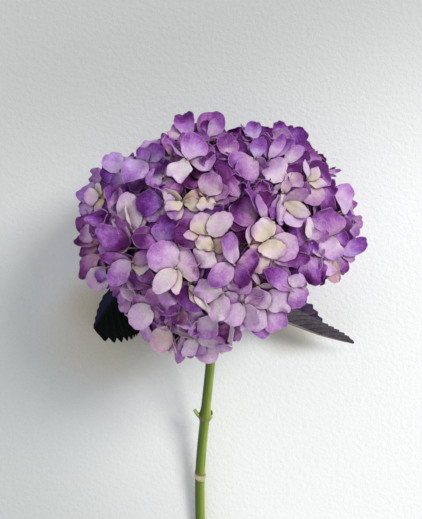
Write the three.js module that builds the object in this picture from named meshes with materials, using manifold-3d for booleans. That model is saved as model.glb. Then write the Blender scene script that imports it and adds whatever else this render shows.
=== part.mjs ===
// Cut mophead hydrangea bloom lying on a surface, in millimetres, +Z up.
// The origin is the flat spot that the bloom rests on, and +Y runs from the stem to the crown.

import * as THREE from 'three';
import Module from 'manifold-3d';

const wasm = await Module();
wasm.setup();

// Driving dimensions of the bloom
const headCentre = [0, 0, 80];
const headTiltDeg = 24; // the crown leans up from the surface by this much
const headTurn = 0.12; // and a little to the right
const domeAcross = 90; // half width of the dome through the floret centres
const domeAlong = 77; // half length along the bloom's axis
const pressedBelow = 40; // under this height the bloom is squashed by its weight
const pressedShare = 0.71;
const coreShare = 0.6; // branching centre, as a share of the dome
const coreDetail = 4;
const coreRough = 0.1; // the branching centre is lumpy, not smooth
const sepalThickness = 0.95;
const sepalShare = 0.92; // blunt few-sided sepals, a little short of the real tips
const pedicelRadius = 1.5;
const pedicelSunk = 6; // how far a pedicel runs into the branching centre
const hiddenFlorets = 150; // places of the spiral rule, most of them taken by placed florets
const hiddenSpacing = 27;
const hiddenRadius = 23; // larger than life, so that fewer still cover the dome
const hiddenPolarDeg = 140;
const clearOfStemAndLeaves = 24;
const layerStep = 1.0; // pressed florets lie on each other by this
const levelStep = 4.6; // neighbouring florets differ in height by this
const levelReach = 33;

// Driving dimensions of the stem
const stemTopRadius = 3.4;
const stemEndRadius = 4.0;
const stemSides = 10;
const stemRoute = [
  [-4.6, -38.0, 63.0],
  [-5.7, -52.0, 57.6],
  [-6.2, -66.0, 52.6],
  [-7.1, -89.0, 44.6],
  [-10.9, -129.0, 28.0],
  [-15.2, -178.0, 12.9],
  [-15.3, -218.0, 6.5],
  [-14.2, -262.0, 4.4],
];
const stemNodes = [
  { share: 0.115, swell: 1.5, width: 0.022 },
  { share: 0.437, swell: 1.0, width: 0.014 },
  { share: 0.656, swell: 0.6, width: 0.012 },
];
const rayRadius = 1.9;
const rayCount = 5;
const gapToNeighbour = 0.35;

// Driving dimensions of the leaves
const leafThickness = 0.9;
const petioleRadius = 1.9;
const leafStart = [-6.3, -60.0, 54.9];

// Florets that show from above, placed one by one: centre, sepal length, cup and sepal directions
const placedFlorets = [
  { x: -21.5, y: 48, r: 18, cup: 0.15, lift: 4, at: [72, 232, 150, 350] },
  { x: -21.5, y: 65.5, r: 15, cup: 0.1, lift: 2, at: [106, 180, 30, 270] },
  { x: -9, y: 65, r: 16, cup: 0.2, lift: 3, at: [76, 150, 8, 260] },
  { x: 7, y: 49, r: 15, cup: 0.1, lift: 1, at: [110, 45, 200, 300] },
  { x: -3, y: 37, r: 15, cup: 0.3, lift: -1, at: [105, 215, 25, 310] },
  { x: -9, y: 23, r: 14, cup: 0.4, lift: 2, at: [85, 20, 170, 262] },
  { x: -25, y: 21.5, r: 14, cup: 0.4, lift: 1, at: [50, 140, 228, 348] },
  { x: -37, y: 20.5, r: 16, cup: 0.2, lift: 1, at: [186, 255, 95, 320] },
  { x: -36.5, y: 37, r: 14, cup: 0.2, lift: 0, at: [183, 70, 255, 330] },
  { x: -47.5, y: 47.5, r: 17, cup: 0.12, lift: 3, at: [218, 118, 52, 320] },
  { x: -67.5, y: 42.5, r: 16, cup: 0.12, lift: 2, at: [128, 195, 60, 300] },
  { x: -62, y: 31, r: 13, cup: 0.15, lift: -4, at: [242, 180, 330, 110] },
  { x: -81.5, y: 26.5, r: 14, cup: 0.35, lift: 2, at: [183, 96, 268, 10] },
  { x: -55, y: 3, r: 18, cup: 0.2, lift: 1, at: [99, 35, 190, 290] },
  { x: -70, y: 13.5, r: 16, cup: 0.3, lift: 0, at: [187, 95, 308, 240] },
  { x: -57.5, y: -7, r: 18, cup: 0.2, lift: 1, at: [149, 205, 80, 300] },
  { x: -83.5, y: 2.5, r: 14, cup: 0.1, lift: -1, at: [165, 240, 60, 340] },
  { x: -56.5, y: -17, r: 17, cup: 0.12, lift: 4, at: [219, 160, 20, 325] },
  { x: -77, y: -20.5, r: 15, cup: 0.12, lift: 0, at: [240, 165, 330, 60] },
  { x: -39, y: -6, r: 17, cup: 0.12, lift: 2, at: [63, 160, 255, 340] },
  { x: -9.5, y: 0.5, r: 17, cup: 0.15, lift: 3, at: [38, 117, 180, 280] },
  { x: -14, y: 14, r: 13, cup: 0.25, lift: -5, at: [205, 100, 20, 320] },
  { x: -5.5, y: -9.5, r: 13, cup: 0.25, lift: 1, at: [142, 226, 36, 310] },
  { x: 19, y: 7, r: 18, cup: 0.2, lift: 0, at: [138, 205, 60, 300] },
  { x: 7, y: -18, r: 18, cup: 0.3, lift: 4, at: [100, 218, 310, 30] },
  { x: -28, y: -20, r: 18, cup: 0.08, lift: 5, at: [137, 228, 285, 22] },
  { x: -20, y: -31, r: 15, cup: 0.35, lift: 0, at: [212, 310, 60, 140] },
  { x: 0.5, y: -35, r: 16, cup: 0.1, lift: 4, at: [172, 253, 318, 60] },
  { x: -32, y: -35, r: 15, cup: 0.1, lift: -3, at: [240, 310, 172, 60] },
  { x: -25, y: -46, r: 14, cup: 0.1, lift: -2, at: [262, 200, 320, 80] },
  { x: -7, y: -49, r: 15, cup: 0.1, lift: 0, at: [271, 210, 335, 90] },
  { x: 6, y: -54.5, r: 15, cup: 0.15, lift: 1, at: [250, 310, 20, 120] },
  { x: -16.5, y: -65, r: 17, cup: 0.15, lift: 2, at: [344, 160, 250, 60] },
  { x: -28, y: -65, r: 14, cup: 0.1, lift: -2, at: [262, 190, 120, 20] },
  { x: -44.5, y: -43, r: 17, cup: 0.1, lift: 2, at: [229, 304, 165, 90] },
  { x: -35.5, y: -57, r: 17, cup: 0.12, lift: 3, at: [246, 310, 180, 60] },
  { x: -61, y: -33, r: 15, cup: 0.15, lift: -1, at: [250, 312, 48, 180] },
  { x: 27.5, y: -45.5, r: 17, cup: 0.08, lift: 3, at: [128, 218, 36, 308] },
  { x: 12.5, y: -42.5, r: 14, cup: 0.12, lift: 1, at: [226, 306, 22, 120] },
  { x: 43, y: -32.5, r: 16, cup: 0.15, lift: 2, at: [300, 58, 147, 230] },
  { x: 22.5, y: -29, r: 16, cup: 0.3, lift: -2, at: [350, 250, 110, 180] },
  { x: 30, y: -15, r: 17, cup: 0.12, lift: 1, at: [192, 280, 3, 90] },
  { x: 31, y: -1, r: 16, cup: 0.1, lift: 4, at: [133, 265, 326, 50] },
  { x: 53.5, y: -12.5, r: 17, cup: 0.12, lift: 1, at: [60, 290, 152, 220] },
  { x: 54.5, y: 0, r: 14, cup: 0.15, lift: -1, at: [88, 20, 160, 300] },
  { x: 70.5, y: 0, r: 17, cup: 0.1, lift: 3, at: [263, 97, 350, 180] },
  { x: 69, y: -13.5, r: 14, cup: 0.15, lift: 0, at: [165, 262, 318, 60] },
  { x: 80, y: -10, r: 16, cup: 0.1, lift: 1, at: [22, 110, 330, 270] },
  { x: 85, y: 8.5, r: 13, cup: 0.1, lift: 0, at: [80, 320, 10, 220] },
  { x: 79.5, y: 16.5, r: 17, cup: 0.08, lift: 2, at: [93, 30, 300, 190] },
  { x: 63.5, y: 28, r: 15, cup: 0.08, lift: -3, at: [78, 299, 10, 190] },
  { x: 54.5, y: 34.5, r: 14, cup: 0.25, lift: 3, at: [102, 40, 345, 280] },
  { x: 37.5, y: 20, r: 16, cup: 0.35, lift: 3, at: [325, 23, 262, 150] },
  { x: 25.5, y: 18, r: 15, cup: 0.35, lift: 0, at: [125, 190, 300, 50] },
  { x: 38, y: 33.5, r: 15, cup: 0.12, lift: 3, at: [124, 8, 232, 300] },
  { x: 19.5, y: 48, r: 17, cup: 0.12, lift: 2, at: [238, 325, 72, 170] },
  { x: 20.5, y: 62, r: 15, cup: 0.15, lift: 2, at: [88, 150, 26, 242] },
  { x: 34, y: 50, r: 17, cup: 0.25, lift: 0, at: [50, 110, 350, 240] },
  { x: 43, y: 65, r: 15, cup: 0.1, lift: 1, at: [103, 22, 180, 310] },
  { x: 64, y: 46.5, r: 15, cup: 0.1, lift: 1, at: [92, 30, 340, 190] },
  { x: 9, y: 23.5, r: 15, cup: 0.25, lift: -1, at: [122, 55, 212, 320] },
];

// The floret that the bloom rests on, pressed flat under the middle
const restFloret = { x: 2.2, y: 1.1, r: 18, at: [20, 110, 200, 290] };

const rad = (deg) => (deg * Math.PI) / 180;
const add = (a, b) => [a[0] + b[0], a[1] + b[1], a[2] + b[2]];
const sub = (a, b) => [a[0] - b[0], a[1] - b[1], a[2] - b[2]];
const scale = (a, s) => [a[0] * s, a[1] * s, a[2] * s];
const dot = (a, b) => a[0] * b[0] + a[1] * b[1] + a[2] * b[2];
const cross = (a, b) => [
  a[1] * b[2] - a[2] * b[1],
  a[2] * b[0] - a[0] * b[2],
  a[0] * b[1] - a[1] * b[0],
];
const size = (a) => Math.hypot(a[0], a[1], a[2]);
const unit = (a) => scale(a, 1 / size(a));
const mix = (a, b, t) => a + (b - a) * t;

// A number from 0 to 1 that is always the same for the same floret and use
function draw(index, use) {
  const wave = Math.sin(index * 12.9898 + use * 78.233) * 43758.5453;
  return wave - Math.floor(wave);
}

// The bloom's axis, from the stem to the crown
const flat = Math.cos(rad(headTiltDeg));
const axis = unit([
  headTurn * flat,
  Math.sqrt(1 - headTurn * headTurn) * flat,
  Math.sin(rad(headTiltDeg)),
]);
const axisBend = 1 / (domeAlong * domeAlong) - 1 / (domeAcross * domeAcross);

// Outward direction of the dome at a place given from its centre
function domeNormal(place) {
  const along = dot(place, axis) * axisBend;
  return unit(add(scale(place, 1 / (domeAcross * domeAcross)), scale(axis, along)));
}

// Place on the dome in one direction from its centre
function domePlace(direction) {
  const along = dot(direction, axis);
  const level = 1 / (domeAcross * domeAcross) + along * along * axisBend;
  return scale(direction, 1 / Math.sqrt(level));
}

// Place on the upper side of the dome over x, y; outside its outline, the nearest place on the rim
function domeOver(x, y) {
  for (let shrink = 1; shrink > 0.5; shrink -= 0.01) {
    const px = x * shrink;
    const py = y * shrink;
    const side = axis[0] * px + axis[1] * py;
    const a = 1 / (domeAcross * domeAcross) + axisBend * axis[2] * axis[2];
    const b = 2 * axisBend * side * axis[2];
    const c = (px * px + py * py) / (domeAcross * domeAcross) + axisBend * side * side - 1;
    const root = b * b - 4 * a * c;
    if (root >= 0) return [px, py, (-b + Math.sqrt(root)) / (2 * a)];
  }
  return domePlace(unit([x, y, 0]));
}

// The weight of the bloom squashes its underside
function pressed(point) {
  if (point[2] >= pressedBelow) return point;
  return [point[0], point[1], pressedBelow - (pressedBelow - point[2]) * pressedShare];
}

// Sepal directions in the floret's own plane, at least 62 degrees apart
function spreadAngles(list) {
  const turn = 2 * Math.PI;
  const least = rad(62);
  const angles = list.map((a) => ((a % turn) + turn) % turn).sort((a, b) => a - b);
  for (let pass = 0; pass < 40; pass += 1) {
    for (let k = 0; k < angles.length; k += 1) {
      const next = (k + 1) % angles.length;
      const wrap = next === 0 ? turn : 0;
      const short = least - (angles[next] + wrap - angles[k]);
      if (short > 0) {
        angles[k] -= short / 2;
        angles[next] += short / 2;
      }
    }
  }
  return angles;
}

// Directions seen from above become directions in the floret's plane
function planeAngles(seen, normal, e1, e2) {
  const up = Math.max(normal[2], 0.35);
  const list = seen.map((deg) => {
    const c = Math.cos(rad(deg));
    const s = Math.sin(rad(deg));
    const raw = [c, s, -(normal[0] * c + normal[1] * s) / up];
    return Math.atan2(dot(raw, e2), dot(raw, e1));
  });
  return spreadAngles(list);
}

// Two directions across a normal
function acrossNormal(normal) {
  const start = Math.abs(normal[0]) < 0.8 ? [1, 0, 0] : [0, 1, 0];
  const e1 = unit(sub(start, scale(normal, dot(start, normal))));
  return [e1, cross(normal, e1)];
}

function triangleList() {
  return { points: [], faces: [] };
}

function solidOf(list) {
  const vertProperties = new Float32Array(list.points.flat());
  const triVerts = new Uint32Array(list.faces.flat());
  return new wasm.Manifold(new wasm.Mesh({ numProp: 3, vertProperties, triVerts }));
}

// One floret: four sepals as one thin dish, split alike on both faces, drawn out into its pedicel
function floretSolid(floret) {
  const { place, normal, e1, e2, angles, lengths, cup, layer, plain } = floret;
  const list = triangleList();
  const turn = 2 * Math.PI;
  const local = (angle, reach, rise) => {
    const side = add(scale(e1, Math.cos(angle) * reach), scale(e2, Math.sin(angle) * reach));
    return add(place, add(side, scale(normal, rise)));
  };
  const addPair = (angle, reach, rise) => {
    const outer = pressed(local(angle, reach, rise + sepalThickness / 2));
    const inner = pressed(local(angle, reach, rise - sepalThickness / 2));
    const faceDown = normal[2] < 0;
    const under = faceDown ? outer : inner;
    const over = faceDown ? inner : outer;
    under[2] = Math.max(under[2], layer);
    over[2] = Math.max(over[2], under[2] + (normal[2] < -0.5 ? 0.75 : 0));
    list.points.push(outer, inner);
    return list.points.length / 2 - 1;
  };
  const notches = [];
  const sepals = [];
  for (let k = 0; k < 4; k += 1) {
    const next = (k + 1) % 4;
    const gap = ((angles[next] - angles[k] + turn) % turn) / 2;
    const reach = 0.22 * Math.min(lengths[k], lengths[next]);
    notches.push(addPair(angles[k] + gap, reach, cup * reach * 0.25));
  }
  for (let k = 0; k < 4; k += 1) {
    const before = (k + 3) % 4;
    const toNext = ((angles[(k + 1) % 4] - angles[k] + turn) % turn) / 2;
    const toLast = ((angles[k] - angles[before] + turn) % turn) / 2;
    const left = Math.min(rad(40), toLast - rad(4));
    const right = Math.min(rad(40), toNext - rad(4));
    const reach = lengths[k];
    const pair = k % 2 === 0 ? 0.5 : -0.5;
    const height = (share) => cup * reach * share * share + pair * share;
    const tips = plain ? [0] : [-rad(16), rad(16)];
    const rise = height(0.95) - 0.02 * reach;
    sepals.push([
      addPair(angles[k] - left, reach * 0.68, height(0.68)),
      ...tips.map((off) => addPair(angles[k] + off, reach * 0.98, rise)),
      addPair(angles[k] + right, reach * 0.68, height(0.68)),
    ]);
  }
  const face = (a, b, c) => {
    list.faces.push([2 * a, 2 * b, 2 * c]);
    list.faces.push([2 * a + 1, 2 * c + 1, 2 * b + 1]);
  };
  const rim = (a, b) => {
    list.faces.push([2 * a, 2 * a + 1, 2 * b + 1]);
    list.faces.push([2 * a, 2 * b + 1, 2 * b]);
  };
  for (let k = 0; k < 4; k += 1) {
    const loop = [notches[(k + 3) % 4], ...sepals[k], notches[k]];
    for (let i = 0; i < loop.length - 1; i += 1) rim(loop[i], loop[i + 1]);
    const [first, a, b, c, d, last] = plain ? [...loop.slice(0, 3), null, ...loop.slice(3)] : loop;
    if (plain) {
      face(first, a, b);
      face(first, b, last);
      face(b, d, last);
    } else {
      face(first, a, b);
      face(first, b, last);
      face(b, c, last);
      face(c, d, last);
    }
  }
  const inward = unit(sub(headCentre, place));
  const deep = size(sub(place, headCentre)) - coreReach(scale(inward, -1)) + pedicelSunk;
  const rings = plain ? [[0.0, 0], [deep, 1]] : [[0.0, 0], [3.2, 1], [deep, 1]];
  let ring = notches.map((spot) => 2 * spot + 1);
  for (const [depth, far] of rings.slice(1)) {
    const seat = pressed(add(place, scale(inward, depth)));
    const nextRing = notches.map((spot) => {
      const from = sub(list.points[2 * spot + 1], pressed(place));
      const flatFrom = unit(sub(from, scale(inward, dot(from, inward))));
      list.points.push(add(seat, scale(flatFrom, pedicelRadius * far)));
      return list.points.length - 1;
    });
    for (let k = 0; k < 4; k += 1) {
      const n = (k + 1) % 4;
      list.faces.push([ring[k], ring[n], nextRing[n]].reverse());
      list.faces.push([ring[k], nextRing[n], nextRing[k]].reverse());
    }
    ring = nextRing;
  }
  list.faces.push([ring[0], ring[2], ring[1]]);
  list.faces.push([ring[0], ring[3], ring[2]]);
  const middle = pressed(local(0, 0, sepalThickness / 2 - 0.3));
  middle[2] = Math.max(middle[2], normal[2] < 0 ? layer : 0);
  list.points.push(middle);
  const top = list.points.length - 1;
  for (let k = 0; k < 4; k += 1) {
    list.faces.push([top, 2 * notches[k], 2 * notches[(k + 1) % 4]]);
  }
  return solidOf(list);
}

// A tapered tube with few sides along a route, closed at both ends
function tubeSolid(route, radii, sides, turnBy) {
  const list = triangleList();
  let e1 = null;
  const rings = route.map((point, i) => {
    const before = route[Math.max(i - 1, 0)];
    const after = route[Math.min(i + 1, route.length - 1)];
    const along = unit(sub(after, before));
    const start = e1 || acrossNormal(along)[0];
    e1 = unit(sub(start, scale(along, dot(start, along))));
    const e2 = cross(along, e1);
    const ring = [];
    for (let k = 0; k < sides; k += 1) {
      const angle = (2 * Math.PI * (k + turnBy)) / sides;
      const side = add(scale(e1, Math.cos(angle)), scale(e2, Math.sin(angle)));
      ring.push(list.points.length);
      list.points.push(add(point, scale(side, radii[i])));
    }
    return ring;
  });
  for (let i = 0; i < rings.length - 1; i += 1) {
    for (let k = 0; k < sides; k += 1) {
      const n = (k + 1) % sides;
      list.faces.push([rings[i][k], rings[i][n], rings[i + 1][n]]);
      list.faces.push([rings[i][k], rings[i + 1][n], rings[i + 1][k]]);
    }
  }
  const last = rings[rings.length - 1];
  for (let k = 1; k < sides - 1; k += 1) {
    list.faces.push([rings[0][0], rings[0][k + 1], rings[0][k]]);
    list.faces.push([last[0], last[k], last[k + 1]]);
  }
  return solidOf(list);
}

// Reach of the branching centre in one direction
function coreReach(direction) {
  return size(domePlace(direction)) * coreShare;
}

// The branching centre that every pedicel grows from
function coreSolid(extra) {
  const ball = new THREE.IcosahedronGeometry(1, coreDetail);
  const seats = new Map();
  const list = triangleList();
  const spots = ball.getAttribute('position');
  const index = [];
  for (let i = 0; i < spots.count; i += 1) {
    const dir = unit([spots.getX(i), spots.getY(i), spots.getZ(i)]);
    const key = dir.map((v) => v.toFixed(4)).join(' ');
    if (!seats.has(key)) {
      seats.set(key, list.points.length);
      const lump = 1 + coreRough * (2 * draw(list.points.length, 31) - 1);
      const reach = coreReach(dir) * lump + extra;
      list.points.push(pressed(add(headCentre, scale(dir, reach))));
    }
    index.push(seats.get(key));
  }
  for (let i = 0; i < index.length; i += 3) {
    list.faces.push([index[i], index[i + 1], index[i + 2]]);
  }
  return solidOf(list);
}

// Smooth route through given points
function smoothRoute(points, steps) {
  const curve = new THREE.CatmullRomCurve3(points.map((p) => new THREE.Vector3(...p)));
  return curve.getSpacedPoints(steps).map((p) => [p.x, p.y, p.z]);
}

const stemLine = smoothRoute(stemRoute, 34);

function stemRadii(extra) {
  return stemLine.map((_, i) => {
    const share = i / (stemLine.length - 1);
    let radius = mix(stemTopRadius, stemEndRadius, share) + extra;
    for (const node of stemNodes) {
      const off = (share - node.share) / node.width;
      radius += node.swell * Math.exp(-off * off);
    }
    return radius;
  });
}

// Half widths, fold and route of each leaf; each half has its own direction from the rib
const leafShapes = {
  leaf_left: {
    route: [leafStart, [-26, -48, 52], [-50, -38, 47.5], [-76, -45, 36], [-94, -70.5, 12]],
    from: 0.16,
    teeth: 13,
    toothDepth: 3.6,
    halves: [
      { side: [0.5, -0.83, -0.25], width: 36, bow: 2.4 },
      { side: [-0.75, 0.12, -0.65], width: 17, bow: 1.6 },
    ],
  },
  leaf_right: {
    route: [leafStart, [14, -58, 47], [45, -61, 31], [78, -73, 20], [103, -80, 14]],
    from: 0.2,
    teeth: 14,
    toothDepth: 2.6,
    halves: [
      { side: [0.0, 0.93, 0.2], width: 18, bow: 1.6 },
      { side: [0.05, 0.55, 0.8], width: 20, bow: -1.6 },
    ],
  },
};

// Place on a leaf's rib, as a share of its length
function ribPlace(shape, share) {
  const fine = smoothRoute(shape.route, 60);
  const place = share * (fine.length - 1);
  const low = Math.min(Math.floor(place), fine.length - 2);
  return fine[low].map((v, i) => mix(v, fine[low + 1][i], place - low));
}

// Rib, middle and margin of both halves of a blade, two stations to a tooth
function leafStations(shape) {
  const steps = shape.teeth * 2;
  const at = (share) => ribPlace(shape, share);
  const stations = [];
  for (let i = 0; i <= steps; i += 1) {
    const t = i / steps;
    const share = mix(shape.from, 1, t);
    const rib = at(share);
    const along = unit(sub(at(Math.min(share + 0.02, 1)), at(share - 0.02)));
    const swell = Math.pow(Math.sin(Math.PI * Math.pow(t * 0.97 + 0.02, 0.82)), 0.85);
    const tooth = i % 2 === 1 ? shape.toothDepth * Math.min(1, 6 * t, 5 * (1 - t) + 0.15) : 0;
    const rows = shape.halves.map((half) => {
      const flatSide = unit(sub(half.side, scale(along, dot(half.side, along))));
      const face = unit(cross(along, flatSide));
      const reach = Math.max(half.width * swell + tooth, 0.9);
      const forward = scale(along, 0.16 * reach + tooth * 0.5);
      const mid = add(add(rib, scale(flatSide, reach * 0.5)), scale(face, half.bow));
      const edge = add(add(rib, scale(flatSide, reach)), forward);
      return { mid, edge, face };
    });
    stations.push({ rib, rows });
  }
  return stations;
}

// A thin folded blade with a toothed margin, joined with its rib and leaf stalk
function leafSolid(shape) {
  const steps = shape.teeth * 2;
  const at = (share) => ribPlace(shape, share);
  const list = triangleList();
  const stations = leafStations(shape);
  const [first, second] = shape.halves;
  const lean = unit(cross(unit(sub(at(0.6), at(0.55))), first.side));
  const leanBack = unit(cross(unit(sub(at(0.6), at(0.55))), second.side));
  const flip = -1;
  const ribFace = unit(add(lean, scale(leanBack, flip)));
  const widen = 1 / Math.max(0.45, Math.abs(dot(ribFace, lean)));
  const addPair = (point, face, half) => {
    const over = add(point, scale(face, half));
    const under = add(point, scale(face, -half));
    const low = Math.min(over[2], under[2]);
    const raise = Math.max(0, 0.6 - low);
    list.points.push(add(over, [0, 0, raise]), add(under, [0, 0, raise]));
    return list.points.length / 2 - 1;
  };
  const grid = stations.map((station) => {
    const t = leafThickness / 2;
    const [a, b] = station.rows;
    return [
      addPair(a.edge, a.face, t),
      addPair(a.mid, a.face, t),
      addPair(station.rib, ribFace, t * widen),
      addPair(b.mid, scale(b.face, -1), t),
      addPair(b.edge, scale(b.face, -1), t),
    ];
  });
  const face = (a, b, c) => {
    list.faces.push([2 * a, 2 * b, 2 * c]);
    list.faces.push([2 * a + 1, 2 * c + 1, 2 * b + 1]);
  };
  const rim = (a, b) => {
    list.faces.push([2 * a, 2 * a + 1, 2 * b + 1]);
    list.faces.push([2 * a, 2 * b + 1, 2 * b]);
  };
  const columns = grid[0].length;
  for (let i = 0; i < steps; i += 1) {
    for (let k = 0; k < columns - 1; k += 1) {
      face(grid[i][k], grid[i + 1][k], grid[i + 1][k + 1]);
      face(grid[i][k], grid[i + 1][k + 1], grid[i][k + 1]);
    }
    rim(grid[i][0], grid[i + 1][0]);
    rim(grid[i + 1][columns - 1], grid[i][columns - 1]);
  }
  for (let k = 0; k < columns - 1; k += 1) {
    rim(grid[0][k + 1], grid[0][k]);
    rim(grid[steps][k], grid[steps][k + 1]);
  }
  let blade = solidOf(list);
  if (blade.volume() < 0) {
    list.faces = list.faces.map(([a, b, c]) => [a, c, b]);
    blade = solidOf(list);
  }
  const ribLine = [];
  const ribRadii = [];
  for (let i = 0; i <= 16; i += 1) {
    const share = (i / 16) * 0.94;
    ribLine.push(at(share));
    ribRadii.push(mix(petioleRadius, 0.6, share));
  }
  return blade.add(tubeSolid(ribLine, ribRadii, 6, 0));
}

// Points of the stem and leaves that hidden florets keep clear of
function keepClearPoints() {
  const points = stemLine.filter((_, i) => i > 1);
  for (const shape of Object.values(leafShapes)) {
    points.push(...smoothRoute(shape.route, 14));
    leafStations(shape).forEach(({ rows }, i) => {
      if (i % 3 === 0) rows.forEach((row) => points.push(row.mid, row.edge));
    });
  }
  return points;
}

// Everything that one floret's solid needs
function floretAt(place, normal, options) {
  const [e1, e2] = acrossNormal(normal);
  const { index, r, cup, seen, spin, layer, lift, plain } = options;
  const angles = seen
    ? planeAngles(seen, normal, e1, e2)
    : spreadAngles([0, 1, 2, 3].map((k) => spin + rad(90 * k + 16 * (draw(index, k + 3) - 0.5))));
  const lengths = angles.map((_, k) => sepalShare * r * (0.94 + 0.12 * draw(index, k + 11)));
  const home = add(headCentre, place);
  return { home, place: home, lift, normal, e1, e2, angles, lengths, cup, layer, plain };
}

// Neighbouring florets sit at three heights, so that their sepals pass over each other
function settleLevels(florets) {
  const done = [];
  for (const floret of florets) {
    const near = done.filter((other) => size(sub(other.home, floret.home)) < levelReach);
    let best = 0;
    let least = Infinity;
    for (const level of [0, levelStep, -levelStep]) {
      let cost = Math.abs(level - floret.lift) * 0.02;
      for (const other of near) {
        const apart = size(sub(other.home, floret.home));
        if (other.level === level) cost += (levelReach - apart) / levelReach;
      }
      if (cost < least) {
        least = cost;
        best = level;
      }
    }
    floret.level = best;
    done.push(floret);
    floret.place = add(floret.home, scale(floret.normal, best + 0.25 * floret.lift));
  }
}

function allFlorets() {
  const florets = [];
  const seats = [];
  placedFlorets.forEach((row, index) => {
    const place = domeOver(row.x, row.y);
    const normal = domeNormal(place);
    seats.push(place);
    florets.push(floretAt(place, normal, { ...row, index, seen: row.at, layer: 0 }));
  });
  const clear = keepClearPoints();
  const golden = Math.PI * (3 - Math.sqrt(5));
  const [u, v] = acrossNormal(axis);
  for (let i = 0; i < hiddenFlorets; i += 1) {
    const cosine = mix(1, Math.cos(rad(hiddenPolarDeg)), (i + 0.5) / hiddenFlorets);
    const sine = Math.sqrt(1 - cosine * cosine);
    const round = i * golden + 0.4;
    const side = add(scale(u, Math.cos(round) * sine), scale(v, Math.sin(round) * sine));
    const place = domePlace(unit(add(scale(axis, cosine), side)));
    const world = pressed(add(headCentre, place));
    const crowded = seats.some((seat) => size(sub(seat, place)) < hiddenSpacing);
    const blocked = clear.some((point) => size(sub(point, world)) < clearOfStemAndLeaves);
    const onRestSpot = world[2] < 30 && Math.hypot(world[0], world[1]) < 19;
    if (crowded || blocked || onRestSpot) continue;
    const index = 100 + i;
    seats.push(place);
    const lift = 5 * (draw(index, 1) - 0.5);
    florets.push(floretAt(place, domeNormal(place), {
      index,
      r: hiddenRadius * (0.9 + 0.16 * draw(index, 2)),
      cup: 0.1 + 0.22 * draw(index, 7),
      spin: 2 * Math.PI * draw(index, 0),
      layer: layerStep * (1 + (i % 2)),
      lift,
      plain: true,
    }));
  }
  settleLevels(florets);
  const down = [0, 0, -1];
  const rest = floretAt([restFloret.x, restFloret.y, 0], down, {
    index: 99, r: restFloret.r, cup: 0, spin: rad(20), layer: 0, lift: 0, plain: false,
  });
  rest.place = [restFloret.x, restFloret.y, -16.5];
  florets.push(rest);
  return florets;
}

// Join a list of solids two by two
function joinAll(solids) {
  let round = solids;
  while (round.length > 1) {
    const next = [];
    for (let i = 0; i < round.length; i += 2) {
      next.push(i + 1 < round.length ? round[i].add(round[i + 1]) : round[i]);
    }
    round = next;
  }
  return round[0];
}

// Only the outer body, so that a hollow sealed by the joining is filled
function outerBody(solid) {
  const parts = solid.decompose();
  return parts.reduce((best, one) => (one.volume() > best.volume() ? one : best));
}

function meshOf(name, solid, colour, roughness) {
  const result = solid.getMesh();
  const geometry = new THREE.BufferGeometry();
  const numProp = result.numProp;
  const count = result.vertProperties.length / numProp;
  const spots = new Float32Array(count * 3);
  for (let i = 0; i < count; i += 1) {
    for (let k = 0; k < 3; k += 1) spots[3 * i + k] = result.vertProperties[numProp * i + k];
  }
  geometry.setAttribute('position', new THREE.BufferAttribute(spots, 3));
  geometry.setIndex(new THREE.BufferAttribute(new Uint32Array(result.triVerts), 1));
  geometry.computeVertexNormals();
  const material = new THREE.MeshStandardMaterial({ color: colour, roughness, metalness: 0 });
  const mesh = new THREE.Mesh(geometry, material);
  mesh.name = name;
  return mesh;
}

function makeHead() {
  const florets = allFlorets();
  return outerBody(joinAll([coreSolid(0), ...florets.map(floretSolid)]));
}

// Rays that spread from the top joint into the branching centre
function raySolids() {
  const foot = stemLine[3];
  const [u, v] = acrossNormal(axis);
  const rays = [];
  for (let k = 0; k < rayCount; k += 1) {
    const angle = (2 * Math.PI * (k + 0.3)) / rayCount;
    const side = add(scale(u, Math.cos(angle)), scale(v, Math.sin(angle)));
    const middle = add(foot, add(scale(axis, 9), scale(side, 7)));
    const top = add(foot, add(scale(axis, 26), scale(side, 20)));
    rays.push(tubeSolid([foot, middle, top], [rayRadius * 1.2, rayRadius, rayRadius * 0.9], 6, 0));
  }
  return rays;
}

// A short cut leaf stalk, a tiny bud and the rim of a leaf scar at the joints
function stemExtras() {
  const upper = stemLine[Math.round(stemNodes[1].share * (stemLine.length - 1))];
  const lower = stemLine[Math.round(stemNodes[2].share * (stemLine.length - 1))];
  const stub = tubeSolid(
    [upper, add(upper, [-3.6, 0.8, 0.6]), add(upper, [-6.8, 2.8, 1.0])],
    [1.9, 1.7, 1.35], 6, 0,
  );
  const bud = tubeSolid(
    [upper, add(upper, [3.4, 1.2, 0.8]), add(upper, [4.9, 3.2, 1.2]), add(upper, [5.3, 4.6, 1.4])],
    [1.3, 1.3, 0.9, 0.35], 6, 0,
  );
  const scar = tubeSolid(
    [lower, add(lower, [0.6, 0.6, 3.6]), add(lower, [0.8, 0.9, 4.6])],
    [2.2, 2.6, 2.1], 8, 0,
  );
  return [stub, bud, scar];
}

function makeStem() {
  const tube = tubeSolid(stemLine, stemRadii(0), stemSides, 0.5);
  const joined = joinAll([tube, ...raySolids(), ...stemExtras()]);
  return outerBody(joined.subtract(coreSolid(gapToNeighbour)));
}

function makeLeaf(shape) {
  const room = tubeSolid(stemLine, stemRadii(gapToNeighbour), stemSides, 0.5);
  return outerBody(leafSolid(shape).subtract(room));
}

const hydrangea = new THREE.Group();
hydrangea.name = 'hydrangea';
hydrangea.add(meshOf('flower_head', makeHead(), 0x9a6cc0, 0.75));
hydrangea.add(meshOf('stem', makeStem(), 0x5f8f35, 0.5));
hydrangea.add(meshOf('leaf_left', makeLeaf(leafShapes.leaf_left), 0x10201a, 0.45));
hydrangea.add(meshOf('leaf_right', makeLeaf(leafShapes.leaf_right), 0x4a3b4d, 0.55));

export default hydrangea;
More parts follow.
